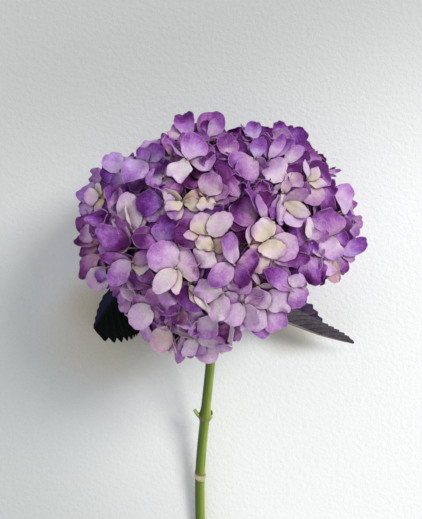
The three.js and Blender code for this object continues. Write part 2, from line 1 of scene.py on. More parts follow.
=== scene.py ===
import bpy
import math
import random
import numpy as np
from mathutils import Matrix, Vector


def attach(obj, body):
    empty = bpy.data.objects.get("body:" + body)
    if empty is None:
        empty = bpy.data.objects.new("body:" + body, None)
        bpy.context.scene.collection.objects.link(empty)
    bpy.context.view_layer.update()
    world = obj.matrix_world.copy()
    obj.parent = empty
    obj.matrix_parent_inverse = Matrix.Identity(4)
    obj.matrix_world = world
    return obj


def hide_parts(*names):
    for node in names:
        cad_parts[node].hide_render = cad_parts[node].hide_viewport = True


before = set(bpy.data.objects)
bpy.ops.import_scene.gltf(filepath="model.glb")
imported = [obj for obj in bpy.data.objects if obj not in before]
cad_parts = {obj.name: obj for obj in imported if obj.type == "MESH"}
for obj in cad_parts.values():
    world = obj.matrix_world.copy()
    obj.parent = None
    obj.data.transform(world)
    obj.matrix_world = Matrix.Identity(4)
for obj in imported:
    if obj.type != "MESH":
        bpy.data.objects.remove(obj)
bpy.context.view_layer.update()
mm = 0.001

# The camera looks straight down from this place, in millimetres
cameraLook = {"place": (-6.9, -14.9, 705.0), "lens": 61.94, "sensor": 36, "nearest": 0.01}
eye = np.array(cameraLook["place"])

# The dome that carries the florets, as in the CAD, in millimetres
dome = {
    "centre": (0.0, 0.0, 80.0),
    "tiltDeg": 24.0,
    "turn": 0.12,
    "across": 90.0,
    "along": 77.0,
    "pressedBelow": 40.0,
    "pressedShare": 0.71,
}

# How a sepal is cut and bent: each sepal draws its own share of these values
sepalLook = {
    "columns": 9,
    "rows": 8,
    "thickness": 0.32,
    "smoothDeg": 60,
    "claw": 0.8,         # width left at the base
    "curl": 15.0,        # degrees between base and tip
    "cross": 0.07,       # sides lifted
    "wave": 0.15,
    "fold": 0.25,        # both halves lifted from the midrib
    "crease": 0.1,
    "uneven": 0.065,     # how far the outline leaves an oval
    "ragged": 0.026,
    "notch": 0.1,
    "point": 0.16,       # how far the tip narrows
    "pleat": 0.05,
    "twistDeg": 22.0,
    "shade": 0.07,       # lighter or deeper than its tint
    "longest": 24.0,
    "longer": 1.06,      # against the lengths of the table
    "wide": 10.0,        # lower sepals over this width
    "lowerWider": 1.15,  # are this much wider than in the table
    "rollDeg": (12, 26),  # for the top sepal and for the lower ones
}

# Where along and across a sepal its shape changes, in shares of its length and width
sepalForm = {
    "clawEnd": 0.4,
    "clawPower": 0.7,
    "pointStart": 0.55,
    "pointReach": 0.45,
    "pointPower": 1.6,
    "notchWidth": 0.3,
    "creaseWidth": 0.22,
    "creaseFade": 0.6,
    "crossAtBase": 0.3,
    "foldAtBase": 0.4,
    "foldSoftness": 0.02,
}

# Every tint: violet depth, creaminess (below 0: a dark base), warmth (below 0: bluer)
tints = {
    "deep": (0.96, 0.0, 0.15),
    "vivid": (0.84, 0.0, -0.35),
    "violet": (0.78, 0.0, 0.0),
    "plum": (0.74, 0.0, 0.35),
    "lilac": (0.54, 0.03, 0.0),
    "sky": (0.5, 0.0, -0.32),
    "shade": (0.66, -1.0, 0.0),
    "pale": (0.38, 0.1, 0.0),
    "pearl": (0.26, 0.2, 0.1),
    "rose": (0.35, 0.0, 0.0),
    "white": (0.08, 0.4, 0.0),
    "cream": (0.06, 0.85, 0.12),
    "mauve": (0.6, 0.0, 0.4),
    "blush": (0.32, 0.25, 0.3),
    "beige": (0.28, 0.45, 0.5),
    "tan": (0.28, 0.6, 1.0),
    "dusk": (0.8, 0.0, 0.8),
    "ash": (0.42, 0.08, 0.25),
    "wine": (0.98, 0.0, 0.75),
}

# Painted shade and painted light: regions of the bloom made deeper or paler for how the light falls there,
# and warmer or cooler: x, y, reach, deeper by, warmer by
regionLightAndShade = [
    (18, 48, 34, 0.19, -0.05), (62, 44, 26, 0.1, -0.1), (-6, 4, 40, 0.25, 0.22),
    (-60, 45, 34, -0.06, -0.4), (10, -56, 40, -0.27, 0.05), (-28, -52, 26, -0.02, 0.08),
    (-64, -4, 38, -0.09, 0.0),
]

# Deep sepals take less of a region's painted light than light ones
palerEase = {"from": 1.4, "lessByDepth": 1.3, "least": 0.2}

# Where the photograph's bloom ends, seen on a plane this high, in millimetres
outlineHeight = 100
bloomOutline = [
    (-30, 84), (-18, 82), (-6, 84), (6, 71), (11, 75), (22, 79), (30, 72), (41, 78), (55, 73),
    (58, 63), (66, 60), (74, 46), (86, 34), (88, 21), (95, 13), (97, -2), (95, -9), (86, -15),
    (84, -25), (70, -29), (54, -36), (62, -41), (55, -46), (44, -46), (43, -56), (29, -65),
    (14, -63), (9, -75), (-4, -82), (-25, -82), (-33, -77), (-50, -72), (-61, -55), (-67, -50),
    (-69, -40), (-76, -36), (-87, -36), (-97, -24), (-98, -4), (-99, 13), (-96, 21), (-96, 31),
    (-88, 35), (-88, 42), (-81, 49), (-73, 57), (-62, 57), (-54, 65), (-43, 65), (-35, 68),
    (-35, 74),
]

# Florets that the photograph shows: x, y, lift, and each sepal, topmost first: its direction and
# length as seen from above, rise in degrees, width, tint, and its roll in degrees where it has one
seenFlorets = [
    (-21.5, 48, 6, (66, 16, 5, 18, "lilac"), (234, 15, 3, 13, "white"), (135, 19.5, 30, 13, "lilac", 66),
     (12, 16.5, 3, 17, "ash")),
    (-21.5, 65.5, 3, (106, 16.5, 3, 14, "violet"), (157, 13, 8, 12, "blush"), (192, 12, 5, 9, "dusk"),
     (30, 12, 10, 12, "violet")),
    (-9, 65, 4, (48, 14, 30, 10, "lilac", 10), (95, 10, 35, 9, "deep"), (80, 18, 5, 17, "mauve"),
     (8, 15, 0, 9, "mauve"), (160, 10, 15, 8, "wine")),
    (7, 49, 2, (110, 16, 3, 14, "mauve"), (150, 14, 5, 10, "plum"), (60, 13, 10, 10, "violet"),
     (215, 12, 15, 9, "deep")),
    (-3, 37, -1, (105, 15, 15, 10, "deep", 20), (62, 16, 15, 11, "deep", 10),
     (128, 15, 25, 8, "violet", 50), (20, 13, 20, 9, "violet")),
    (-9, 23, 4, (262, 7.5, 30, 12, "cream"), (76, 13.5, 22, 14, "blush"), (110, 8, 40, 8, "tan"),
     (22, 13, 12, 11, "blush"), (350, 12, 8, 8, "pearl")),
    (-24.2, 19.8, 3.5, (200, 10, 22, 9, "cream", 20), (350, 13, 20, 8, "cream", 25),
     (150, 13, 26, 9, "cream", 30), (25, 15, 12, 9, "tan"), (222, 15, 8, 11, "white")),
    (-36.5, 21, 1.5, (186, 16, 5, 17, "vivid"), (237, 14, 10, 11, "pale"), (95, 10, 20, 10, "deep"),
     (300, 11, 15, 9, "deep")),
    (-36.5, 37, 2.5, (183, 10.5, 12, 13, "lilac"), (70, 10, 20, 12, "deep"), (285, 12, 12, 11, "plum"),
     (235, 11, 15, 10, "violet")),
    (-47.5, 47.5, 5, (218, 18, 3, 17, "lilac"), (118, 10, 18, 9, "violet", 25), (52, 13, 12, 13, "violet"),
     (320, 10, 15, 10, "deep"), (92, 14.5, -4, 16, "ash")),
    (-67.5, 42.5, 4, (122, 15, 5, 15, "lilac"), (186, 12, 8, 11, "vivid"), (58, 12, -4, 13, "ash"),
     (300, 11, 10, 10, "violet")),
    (-61, 36, 0.5, (242, 11, 8, 12, "dusk"), (180, 11, 8, 11, "violet"), (330, 11, 10, 10, "deep"),
     (110, 9, 10, 10, "deep")),
    (-81.5, 27.5, 4, (183, 9.5, 32, 12, "blush"), (96, 8, 40, 6, "cream", 25), (268, 10.5, 28, 8, "tan"),
     (22, 6.5, 40, 7, "cream", 20), (128, 7, 42, 5, "cream", 45)),
    (-55, 2.5, 1, (99, 25, 8, 17, "pearl"), (108, 15.5, 30, 10, "white", 66), (62, 16, 8, 11, "blush"),
     (20, 13, 12, 10, "mauve")),
    (-69.7, 13.6, 2, (187, 16.5, 22, 12, "shade", -35), (308, 12, 20, 8, "white", 15),
     (204, 12, 28, 7, "white", 50), (101, 18, 25, 9, "violet", 48), (78, 16, 18, 9, "mauve", 35)),
    (-57.5, -7.7, 3, (149, 24, 12, 15, "shade", 14), (184, 18.5, 3, 10, "pale"),
     (112, 20, 25, 8, "plum", 62), (120, 17, 30, 7, "lilac", 70)),
    (-83, 3.5, 1, (192, 10.5, 5, 13, "mauve"), (143, 15.5, 0, 13, "dusk"), (60, 12, 15, 10, "deep"),
     (340, 12, 15, 10, "deep")),
    (-56.3, -16.5, 4.5, (219, 18.5, 4, 14, "lilac"), (170, 18, 10, 9, "plum"), (20, 13, 14, 9, "plum"),
     (342, 10.5, 10, 11, "cream"), (320, 15.5, 3, 10, "mauve")),
    (-76, -20.5, 2, (248, 9, 22, 9, "vivid"), (233, 15.5, 3, 14, "pearl"), (165, 12, 15, 10, "deep"),
     (330, 12, 12, 10, "violet")),
    (-39, -6, 3, (63, 17.5, 6, 17, "vivid"), (166, 15.5, 12, 10, "deep", 8), (148, 16, 3, 11, "mauve"),
     (255, 12, 12, 10, "violet")),
    (-9.3, 0, 5, (38, 17, 8, 14, "white"), (117, 12.5, 10, 13, "cream"), (181, 12.5, 18, 7, "cream"),
     (178, 19, 3, 16, "mauve")),
    (-11.7, 14, 0, (205, 15.5, 8, 12, "pale"), (346, 14.5, 10, 10, "vivid"), (18, 14, 8, 9, "mauve"),
     (95, 9, 10, 10, "wine"), (330, 16, 15, 6, "white")),
    (-5.7, -9, 4.5, (142, 10.5, 18, 10, "cream"), (226, 11.5, 8, 14, "white"), (36, 12.5, 12, 12, "tan"),
     (310, 9, 25, 8, "blush")),
    (20.4, 7, 1, (138, 18, 8, 18, "plum"), (184, 16.5, 14, 10, "wine", 18), (222, 14, 10, 11, "dusk"),
     (60, 10, 20, 9, "deep")),
    (7, -18, 6, (101, 18, 20, 11, "lilac", 18), (217, 18, 14, 12, "lilac", -10),
     (302, 14, 20, 10, "violet", 10), (334, 12, 8, 24, "plum"), (288, 17.5, 3, 13, "pearl"),
     (243, 15, 14, 8, "lilac", 25)),
    (-28, -20, 7, (228, 18, 4, 12, "white"), (270, 14.5, 6, 9, "cream"), (137, 18.5, 3, 19, "pale"),
     (22, 11.5, -20, 22, "blush")),
    (-20.3, -30, 4, (309, 19, 26, 9, "white", 60), (300, 12, 18, 8, "tan", 10), (63, 13, 32, 8, "tan", 58),
     (286, 16, 0, 18, "shade"), (212, 12, 6, 11, "deep"), (52, 11, 28, 8, "lilac", 40)),
    (0.4, -34.6, 5.5, (172, 16, 5, 15, "rose"), (253, 17, 4, 12.5, "rose"), (318, 12, 8, 10, "rose"),
     (60, 10, 15, 9, "lilac")),
    (-31.5, -34, 2, (244, 8, 12, 13, "lilac"), (213, 16, 3, 16, "mauve"), (262, 14.5, 3, 12, "violet"),
     (172, 14, 5, 12, "mauve")),
    (-23, -44, 1.2, (238, 11.5, 6, 11, "dusk"), (296, 15, 4, 14, "lilac"), (196, 16, 10, 8, "plum", 35),
     (214, 17, 0, 12, "deep"), (262, 16, -4, 14, "wine")),
    (-7, -48, 1.5, (259, 16, 2, 16, "lilac"), (299, 20, 2, 13, "mauve"), (228, 15, 4, 13, "plum"),
     (90, 10, 12, 10, "deep")),
    (6.2, -53.3, 2, (266, 14.5, 12, 5, "pale", 45), (247, 14, 4, 11, "wine"), (284, 12.5, 3, 9, "mauve"),
     (20, 10, 15, 9, "plum")),
    (-16.5, -65, 2.5, (344, 22, 6, 9, "lilac", 15), (160, 20, 20, 6, "blush", 60),
     (241, 13.5, 2, 10, "rose"), (264, 12.5, -4, 13, "lilac"), (308, 17.5, -4, 15, "rose"),
     (24, 14, 8, 9, "wine")),
    (-24.3, -63.6, 1, (258, 17.5, -4, 9, "lilac"), (237, 12, 14, 6, "blush", 30),
     (100, 9, 18, 8, "tan", 20), (22, 12, 8, 9, "wine")),
    (-44.6, -43, 3, (229, 17.5, 2, 16, "pale"), (304, 21, 4, 11, "mauve", 10), (178, 11, 10, 12, "mauve"),
     (100, 11, 15, 10, "dusk")),
    (-35, -57, 4, (246, 17.5, 2, 15, "beige"), (290, 17, 22, 6, "blush", 60), (276, 17, 3, 10, "beige"),
     (60, 9, 10, 8, "violet")),
    (-60, -33.6, 2, (238, 10, 12, 7, "lilac", 30), (257, 15, 2, 9, "ash"), (312, 12, 5, 10, "dusk"),
     (48, 14, 14, 10, "violet"), (202, 10, 3, 7, "plum")),
    (27.7, -45.5, 4, (128, 15.5, 7, 14, "pale"), (218, 19, 2, 16, "rose"), (36, 16, 4, 17, "pale"),
     (308, 15, 2, 14, "lilac"), (258, 17.5, -4, 14, "lilac")),
    (12.7, -42, 5, (226, 14.5, 4, 15, "rose"), (306, 14, 4, 13, "pale"), (22, 12, 8, 9, "mauve"),
     (110, 10, 15, 8, "blush")),
    (42.8, -32.6, 4.8, (300, 12, 4, 12, "lilac"), (58, 9.5, 8, 11, "rose"),
     (147, 19, 12, 11, "violet", 16), (331, 11.5, -6, 9, "ash")),
    (22.4, -30.5, 1, (350, 20, 20, 9, "blush", 64), (250, 6, 25, 5, "cream"),
     (122, 13, 30, 7, "blush", 58), (100, 11, 12, 11, "dusk"), (0, 16, 2, 15, "wine")),
    (29.7, -15, 3.5, (192, 12.5, 6, 13, "beige"), (3, 23, 5, 10, "plum"), (300, 13, 3, 13, "pale"),
     (240, 11, 3, 11, "pale")),
    (29.7, -2, 5, (133, 12.5, 4, 17, "cream"), (272, 11, 5, 15, "cream"), (326, 17, 4, 16, "pearl"),
     (40, 8, 5, 11, "blush")),
    (53.3, -12, 1.5, (60, 9, 14, 10, "vivid"), (290, 18.5, 3, 16, "deep"), (152, 11, 8, 11, "violet"),
     (215, 11, 8, 10, "violet")),
    (53.7, -2.7, 3, (88, 12.5, 25, 7, "white", 20), (54, 15.5, 4, 11, "lilac"), (150, 13.5, 8, 15, "deep"),
     (16, 14, 4, 9, "mauve"), (228, 10, 6, 9, "deep")),
    (69.9, -0.5, 4, (263, 13.5, 3, 17, "pale"), (97, 17.5, 3, 22, "plum"), (350, 10, 0, 12, "violet"),
     (180, 9, 10, 9, "mauve")),
    (69, -12.7, 2, (165, 12, 14, 6, "blush", 40), (262, 11.5, 5, 13, "pearl"), (318, 11, 8, 8, "pale", 45),
     (287, 17, -6, 10, "tan")),
    (77.4, -10.7, 3, (22, 18.5, 4, 11, "vivid"), (110, 10, 12, 9, "deep"), (343, 10.5, -4, 8, "ash"),
     (280, 13, 0, 10, "plum")),
    (84.3, 7.7, 2, (96, 11, 0, 9, "vivid"), (320, 9, 5, 10, "lilac"), (18, 12.5, -3, 10, "mauve"),
     (290, 10, 4, 11, "violet")),
    (79.8, 15.4, 2.5, (81, 19, 2, 18, "pale"), (40, 7.5, -4, 8, "vivid"), (300, 10, 5, 9, "lilac")),
    (62, 31, 1.5, (78, 17.5, 2, 19, "deep"), (299, 17, 0, 13, "deep"), (10, 13, 0, 13, "violet"),
     (190, 10, 8, 9, "wine")),
    (54.6, 34.8, 5, (102, 12.5, 26, 8, "white", 66), (50, 10.5, 20, 8, "cream"),
     (355, 11.5, 16, 8.5, "cream"), (289, 14.5, 4, 15, "beige"), (28, 11, 5, 9, "lilac")),
    (37.5, 20, 6, (331, 16, 20, 9, "cream", 22), (303, 16.5, 10, 13, "white"),
     (23, 15.5, 24, 9, "blush", 50), (262, 13, 15, 8, "white", 20)),
    (26.6, 8.6, 3, (113, 14.5, 30, 9, "pale", 20), (126, 21, 24, 10, "lilac", 46), (92, 18, 8, 13, "plum"),
     (40, 10, 15, 9, "deep")),
    (38, 33.5, 4.5, (8, 12, 12, 13, "beige"), (124, 15, 8, 16, "white"), (232, 9.5, 20, 11, "white", 45),
     (44, 14.5, 6, 10, "plum")),
    (20.7, 49, 5, (238, 17.5, 3, 16, "ash"), (325, 9, 20, 8, "pale", 45), (72, 13.5, 15, 10, "sky"),
     (200, 15, 6, 18, "lilac")),
    (20.4, 62.8, 4, (88, 12.5, 0, 11, "sky"), (126, 12, 16, 9, "lilac", 52), (126, 10, 10, 9, "deep"),
     (26, 13.5, 4, 12, "violet"), (242, 11, 8, 11, "plum")),
    (30, 49, 4, (57, 18, 10, 8, "lilac"), (42, 19.5, 6, 9, "lilac"), (104, 15.5, 6, 9, "violet", 8),
     (10, 10, 8, 8, "deep")),
    (43, 65, 2, (103, 15, 0, 11, "violet"), (22, 16, 0, 14, "vivid"), (62, 13, 0, 11, "violet"),
     (330, 11, 4, 10, "deep")),
    (62.5, 46.5, 1, (92, 11.5, 0, 10, "mauve"), (30, 8, -2, 9, "deep"), (340, 11.5, -4, 10, "violet"),
     (190, 10, 8, 10, "deep")),
    (9.7, 22.8, 1.5, (122, 21, 16, 14, "plum", 26), (160, 13.5, 8, 11, "mauve"),
     (60, 12, 25, 9, "violet", 50), (212, 9, 10, 10, "violet")),
    (-32.7, 52, 1, (107, 14.5, 12, 8, "dusk", 45), (86, 11, 20, 8, "mauve", 45),
     (205, 10, 10, 10, "lilac"), (150, 11, 8, 10, "violet")),
    (-33, 25.5, 3.2, (284, 15.5, 22, 8, "pearl", 30), (150, 10, 20, 7, "lilac", 60),
     (30, 9, 15, 9, "dusk")),
    (-77, 38, 1.5, (152, 13.5, 2, 13, "mauve"), (200, 12, 2, 9, "deep"), (290, 14, 22, 8, "lilac", 52)),
    (-80.5, 28, 2.5, (168, 17, -4, 15, "sky"), (216, 17, 0, 11, "lilac"), (310, 13, 8, 11, "deep"),
     (70, 11, 6, 11, "deep")),
    (-81, -4, 0.5, (172, 15.5, 0, 9, "dusk"), (212, 14, -4, 11, "dusk"), (0, 10, 10, 9, "deep")),
    (-79, -12, 1.5, (223, 20, -4, 14, "dusk", 14), (255, 16, 0, 10, "mauve"), (60, 10, 10, 9, "wine")),
    (16, -6.7, 2.5, (84, 12.5, 26, 7, "blush", 58), (330, 13, 12, 8, "blush"), (22, 11, 22, 8, "tan"),
     (48, 13, 8, 10, "mauve")),
    (36.9, 26, 5.8, (263, 19.5, 28, 8, "white", 60), (251, 16, 25, 10, "lilac", 52),
     (60, 8, 15, 7, "beige")),
    (24.4, 19, 1, (130, 15.5, 28, 9, "lilac", 52), (80, 13.5, 12, 13, "plum"), (172, 10, 8, 10, "violet"),
     (30, 11, 12, 9, "deep")),
    (40, 46.5, 3, (44, 16, 4, 9, "pearl"), (24, 17, 0, 13, "deep"), (330, 13.5, 8, 9, "wine"),
     (290, 10, 8, 9, "plum")),
    (-11.7, -16.4, 1.5, (118, 12.5, 12, 11, "dusk"), (252, 12, 18, 6, "blush", 45),
     (284, 14, 12, 8, "wine", 20), (55, 9, 10, 9, "wine")),
    (-46, -24, 0.5, (265, 13, 5, 12, "violet"), (320, 13, 10, 9, "plum", 30), (215, 13, 5, 11, "plum")),
    (70, 44, 0.5, (14, 12, 2, 3.2, "ash", 30), (28, 10, 8, 2.6, "deep", 45), (352, 9, 0, 2.6, "mauve")),
]

# How the florets of the table stand: mostly out of the dome and partly up towards the light
seenLook = {"outward": 0.55, "upward": 0.45, "facingUp": 0.5, "steepest": 1.5, "sunk": 1.5, "seed": 1000}

# Rules for the florets that the photograph hides
ruleFlorets = {
    "places": 240,
    "polarDeg": 160,
    "spacing": 19.5,
    "radius": (15.5, 18.5),
    "riseDeg": (0, 34),
    "clearOfStem": 11.5,
    "levelStep": 3.6,
    "layers": (0.5, 1.3, 2.1),  # lowest heights over the floor
    "order": -400,              # the higher, the sooner its sepals are laid
    "seed": 2000,
    "tints": ["violet", "lilac", "violet", "mauve", "plum", "deep", "lilac", "pale", "vivid"],
}

# Small florets that fill in between those of the table, a little lower
fillFlorets = {
    "places": 420,
    "polarDeg": 150,
    "share": 0.92,
    "lowest": -10,
    "fromSeen": 8.0,
    "spacing": 14.5,
    "radius": (13.0, 17.0),
    "riseDeg": (0, 34),
    "clearOfStem": 13.0,
    "layers": (0.5,),
    "order": -600,
    "seed": 7000,
    # Mostly darker tints: partly painted shade for the hollows between florets
    "tints": ["violet", "plum", "mauve", "deep", "deep", "plum", "dusk", "wine", "lilac"],
}

# Every second one of them stands with its sepals upright
uprightFlorets = {
    **fillFlorets,
    "share": 0.94,
    "riseDeg": (48, 74),
    "order": -300,
    "tints": ["lilac", "mauve", "blush", "violet", "pale", "plum", "pearl"],
}

# A second layer under the first fills the gaps; the deep and wine tints of its sepals are painted shade for
# the gaps
underFlorets = {
    "places": 110,
    "polarDeg": 140,
    "share": 0.83,
    "spacing": 15.0,
    "radius": (13.0, 16.0),
    "riseDeg": (0, 34),
    "clearOfStem": 12.0,
    "levelStep": 3.0,
    "layers": (1.5,),
    "order": -800,
    "seed": 5000,
    "tints": ["deep", "wine", "violet", "deep", "mauve", "wine"],
}

# What a floret by rule draws for itself
ruleDraws = {
    "lean": 0.3,
    "lift": 2,
    "sameTint": 0.65,
    "turnDeg": 9,
    "riseDeg": (-10, 14),
    "length": (0.9, 1.1),
    "width": (1.05, 1.35),
    "rollDeg": 12,
}

# The low floret that the bloom rests on, and the room that others leave it
restFloret = {
    "home": (2.2, 1.1, -79.0),
    "place": (2.2, 1.1, -16.0),
    "turnDeg": 20,
    "order": -900,
    "seed": 9000,
    "below": 30,
    "room": 17,
}


# Small vector helpers
def unit(v):
    v = np.asarray(v, float)
    return v / np.linalg.norm(v)


def mix(a, b, t):
    return a + (b - a) * t


# Rows brought to length 1
def unitRows(v):
    return v / np.linalg.norm(v, axis=1, keepdims=True)


def tooNear(places, place, gap):
    return len(places) > 0 and np.min(np.linalg.norm(np.array(places) - place, axis=1)) < gap


# Nothing goes below this height over the floor
def keptAbove(points, least):
    points[..., 2] = np.maximum(points[..., 2], least)
    return points


flatPart = math.cos(math.radians(dome["tiltDeg"]))
axis = unit([
    dome["turn"] * flatPart,
    math.sqrt(1 - dome["turn"] ** 2) * flatPart,
    math.sin(math.radians(dome["tiltDeg"])),
])
centre = np.array(dome["centre"])
axisBend = 1 / dome["along"] ** 2 - 1 / dome["across"] ** 2

# The branching hub inside, where the stalks and the rays of the stem meet
hubLook = {"below": 20.0, "radius": 15.0, "lumps": 0.16}
hub = centre - axis * hubLook["below"]


def domeNormal(place):
    along = np.dot(place, axis) * axisBend
    return unit(np.asarray(place) / dome["across"] ** 2 + axis * along)


def domePlace(direction):
    along = np.dot(direction, axis)
    return direction / math.sqrt(1 / dome["across"] ** 2 + along * along * axisBend)


# Place on the upper side of the dome over x, y, drawn in a little where the dome ends before it
def domeOver(x, y):
    shrink = 1.0
    while shrink > 0.5:
        px, py = x * shrink, y * shrink
        side = axis[0] * px + axis[1] * py
        a = 1 / dome["across"] ** 2 + axisBend * axis[2] ** 2
        b = 2 * axisBend * side * axis[2]
        c = (px * px + py * py) / dome["across"] ** 2 + axisBend * side * side - 1
        root = b * b - 4 * a * c
        if root >= 0:
            return np.array([px, py, (-b + math.sqrt(root)) / (2 * a)])
        shrink -= 0.01
    return domePlace(unit([x, y, 0]))


# The weight of the bloom squashes its underside, as in the CAD
def pressed(points):
    points = np.array(points, float)
    low = points[..., 2] < dome["pressedBelow"]
    squashed = dome["pressedBelow"] - (dome["pressedBelow"] - points[..., 2]) * dome["pressedShare"]
    points[..., 2] = np.where(low, squashed, points[..., 2])
    return points


def acrossNormal(normal):
    start = np.array([1.0, 0, 0]) if abs(normal[0]) < 0.8 else np.array([0, 1.0, 0])
    e1 = unit(start - normal * np.dot(start, normal))
    return e1, np.cross(normal, e1)


# Smooth route through points, spaced evenly, the same curve as the CAD's
def smoothRoute(points, steps):
    points = [np.array(p, float) for p in points]
    ends = [2 * points[0] - points[1]] + points + [2 * points[-1] - points[-2]]
    fine = []
    for i in range(len(points) - 1):
        p0, p1, p2, p3 = ends[i:i + 4]
        pairs = ((p0, p1), (p1, p2), (p2, p3))
        d0, d1, d2 = (max(np.sum((b - a) ** 2) ** 0.25, 1e-4) for a, b in pairs)
        t1 = ((p1 - p0) / d0 - (p2 - p0) / (d0 + d1) + (p2 - p1) / d1) * d1
        t2 = ((p2 - p1) / d1 - (p3 - p1) / (d1 + d2) + (p3 - p2) / d2) * d1
        for t in np.linspace(0, 1, 60, endpoint=False):
            c2 = -3 * p1 + 3 * p2 - 2 * t1 - t2
            c3 = 2 * p1 - 2 * p2 + t1 + t2
            fine.append(p1 + t1 * t + c2 * t * t + c3 * t ** 3)
    fine = np.array(fine + [points[-1]])
    run = np.concatenate([[0], np.cumsum(np.linalg.norm(np.diff(fine, axis=0), axis=1))])
    wanted = np.linspace(0, run[-1], steps + 1)
    return np.stack([np.interp(wanted, run, fine[:, k]) for k in range(3)], axis=1)


# Blender helpers
def nothingSelected():
    if bpy.context.object and bpy.context.object.mode != "OBJECT":
        bpy.ops.object.mode_set(mode="OBJECT")
    bpy.ops.object.select_all(action="DESELECT")


def readVectors(data, key):
    flat = np.empty(len(data) * 3)
    data.foreach_get(key, flat)
    return flat.reshape(-1, 3)


def readPoints(piece):
    return readVectors(piece.data.vertices, "co")


def writePoints(piece, points):
    piece.data.vertices.foreach_set("co", np.asarray(points, float).ravel())
    piece.data.update()


def addVectors(piece, name, values):
    store = piece.data.attributes.get(name) or piece.data.attributes.new(name, "FLOAT_VECTOR", "POINT")
    store.data.foreach_set("vector", np.asarray(values, float).ravel())


def copyOf(pattern, name):
    piece = bpy.data.objects.new(name, pattern.data.copy())
    bpy.context.collection.objects.link(piece)
    return piece


def joined(parts, name, smoothDeg=50):
    nothingSelected()
    for part in parts:
        part.select_set(True)
    bpy.context.view_layer.objects.active = parts[0]
    bpy.ops.object.join()
    piece = bpy.context.object
    piece.name = name
    piece.data.name = name
    bpy.ops.object.shade_smooth_by_angle(angle=math.radians(smoothDeg))
    return piece


# Two faces for a sheet, or for all the sheets of a piece at once. The attribute's third value then
# tells the underside: the points of the sheet come first, and those of its second face after them
def thicken(piece, thickness, placeName, underFirst=False):
    nothingSelected()
    piece.select_set(True)
    bpy.context.view_layer.objects.active = piece
    solid = piece.modifiers.new("thickness", "SOLIDIFY")
    solid.thickness = thickness * mm
    solid.offset = 0
    bpy.ops.object.modifier_apply(modifier="thickness")
    values = readVectors(piece.data.attributes[placeName].data, "vector")
    half = len(values) // 2
    under = slice(0, half) if underFirst else slice(half, None)
    values[under, 2] = 1.0
    addVectors(piece, placeName, values)
    return piece


# A ring extruded upwards in steps, closed at both ends
def extrudedRing(sides, steps, rise=1.0, inset=0.0):
    bpy.ops.mesh.primitive_circle_add(vertices=sides, radius=1, fill_type="NGON")
    bpy.ops.object.mode_set(mode="EDIT")
    bpy.ops.mesh.select_all(action="SELECT")
    for _ in range(steps):
        bpy.ops.mesh.extrude_region_move(TRANSFORM_OT_translate={"value": (0, 0, rise)})
    if inset:
        bpy.ops.mesh.inset(thickness=inset, depth=0)
    bpy.ops.mesh.select_all(action="SELECT")
    bpy.ops.mesh.normals_make_consistent(inside=False)
    bpy.ops.object.mode_set(mode="OBJECT")
    return bpy.context.object


# One flat sepal: a grid rounded to a disc, with where each point is across and along it
def makeSepalPattern():
    bpy.ops.mesh.primitive_grid_add(
        x_subdivisions=sepalLook["columns"], y_subdivisions=sepalLook["rows"], size=2)
    pattern = bpy.context.object
    points = readPoints(pattern)
    x, y = points[:, 0].copy(), points[:, 1].copy()
    points[:, 0] = x * np.sqrt(1 - y * y / 2)
    points[:, 1] = y * np.sqrt(1 - x * x / 2)
    writePoints(pattern, points)
    addVectors(pattern, "sepalPlace", np.stack([points[:, 0], (points[:, 1] + 1) / 2, 0 * x], axis=1))
    return pattern


budLook = {
    "sides": 8,
    "rings": 6,
    "scales": 4,
    "swell": 0.12,
    "flat": 0.85,
    "radius": (0.55, 0.8),
    "above": 0.9,
    "lowest": 0.1,
}


# A closed bud of four scales for the middle of a floret
def makeBudPattern():
    bpy.ops.mesh.primitive_uv_sphere_add(segments=budLook["sides"], ring_count=budLook["rings"], radius=1)
    pattern = bpy.context.object
    points = readPoints(pattern)
    turned = np.arctan2(points[:, 1], points[:, 0])
    swell = 1 + budLook["swell"] * np.cos(budLook["scales"] * turned) * (1 - points[:, 2] ** 2)
    points[:, :2] *= swell[:, None]
    points[:, 2] *= budLook["flat"]
    writePoints(pattern, points)
    return pattern


# Where the flat sepal's points go once it is bent: along, across and out of the sepal
def bent(x, y, sepal):
    form, phase = sepalForm, sepal["phase"]
    turned = np.arctan2(x, y + 0.001)
    far = np.sqrt(x * x + y * y)
    rim = sepal["uneven"] * np.sin(sepal["unevenCount"] * turned + phase * 2)
    rim = rim + sepal["ragged"] * np.sin(sepal["ragCount"] * turned + phase)
    rim = rim - sepal["notch"] * np.exp(-((turned / form["notchWidth"]) ** 2))
    rag = 1 + rim * far ** 4
    x, y = x * rag, y * rag
    share = (y + 1) / 2
    toTip = np.clip((share - form["pointStart"]) / form["pointReach"], 0, 1)
    claw = mix(sepalLook["claw"], 1.0, np.clip(share / form["clawEnd"], 0, 1) ** form["clawPower"])
    claw = claw * (1 - sepal["point"] * toTip ** form["pointPower"])
    half = sepal["width"] / 2
    start = -sepal["curl"] / 2
    swing = sepal["curl"] if abs(sepal["curl"]) > 1e-3 else 1e-3
    slope = start + swing * share
    out = sepal["length"] * (np.sin(slope) - math.sin(start)) / swing
    up = -sepal["length"] * (np.cos(slope) - math.cos(start)) / swing
    across = x * claw * half
    fold = np.sqrt(x * x + form["foldSoftness"]) * mix(form["foldAtBase"], 1, share)
    crease = np.exp(-((x / form["creaseWidth"]) ** 2)) * (1 - form["creaseFade"] * share)
    hump = sepal["cross"] * half * x * x * mix(form["crossAtBase"], 1, share)
    hump = hump + sepal["fold"] * half * fold - sepal["crease"] * half * crease
    hump = hump + sepal["wave"] * half * far ** 3 * np.sin(sepal["waveCount"] * turned + phase)
    hump = hump + sepal["pleat"] * half * far ** 2 * np.cos(sepal["pleatCount"] * turned + phase)
    cosine, sine = np.cos(sepal["twist"] * share), np.sin(sepal["twist"] * share)
    across, hump = across * cosine - hump * sine, across * sine + hump * cosine
    return np.stack([out - hump * np.sin(slope), across, up + hump * np.cos(slope)], axis=-1)


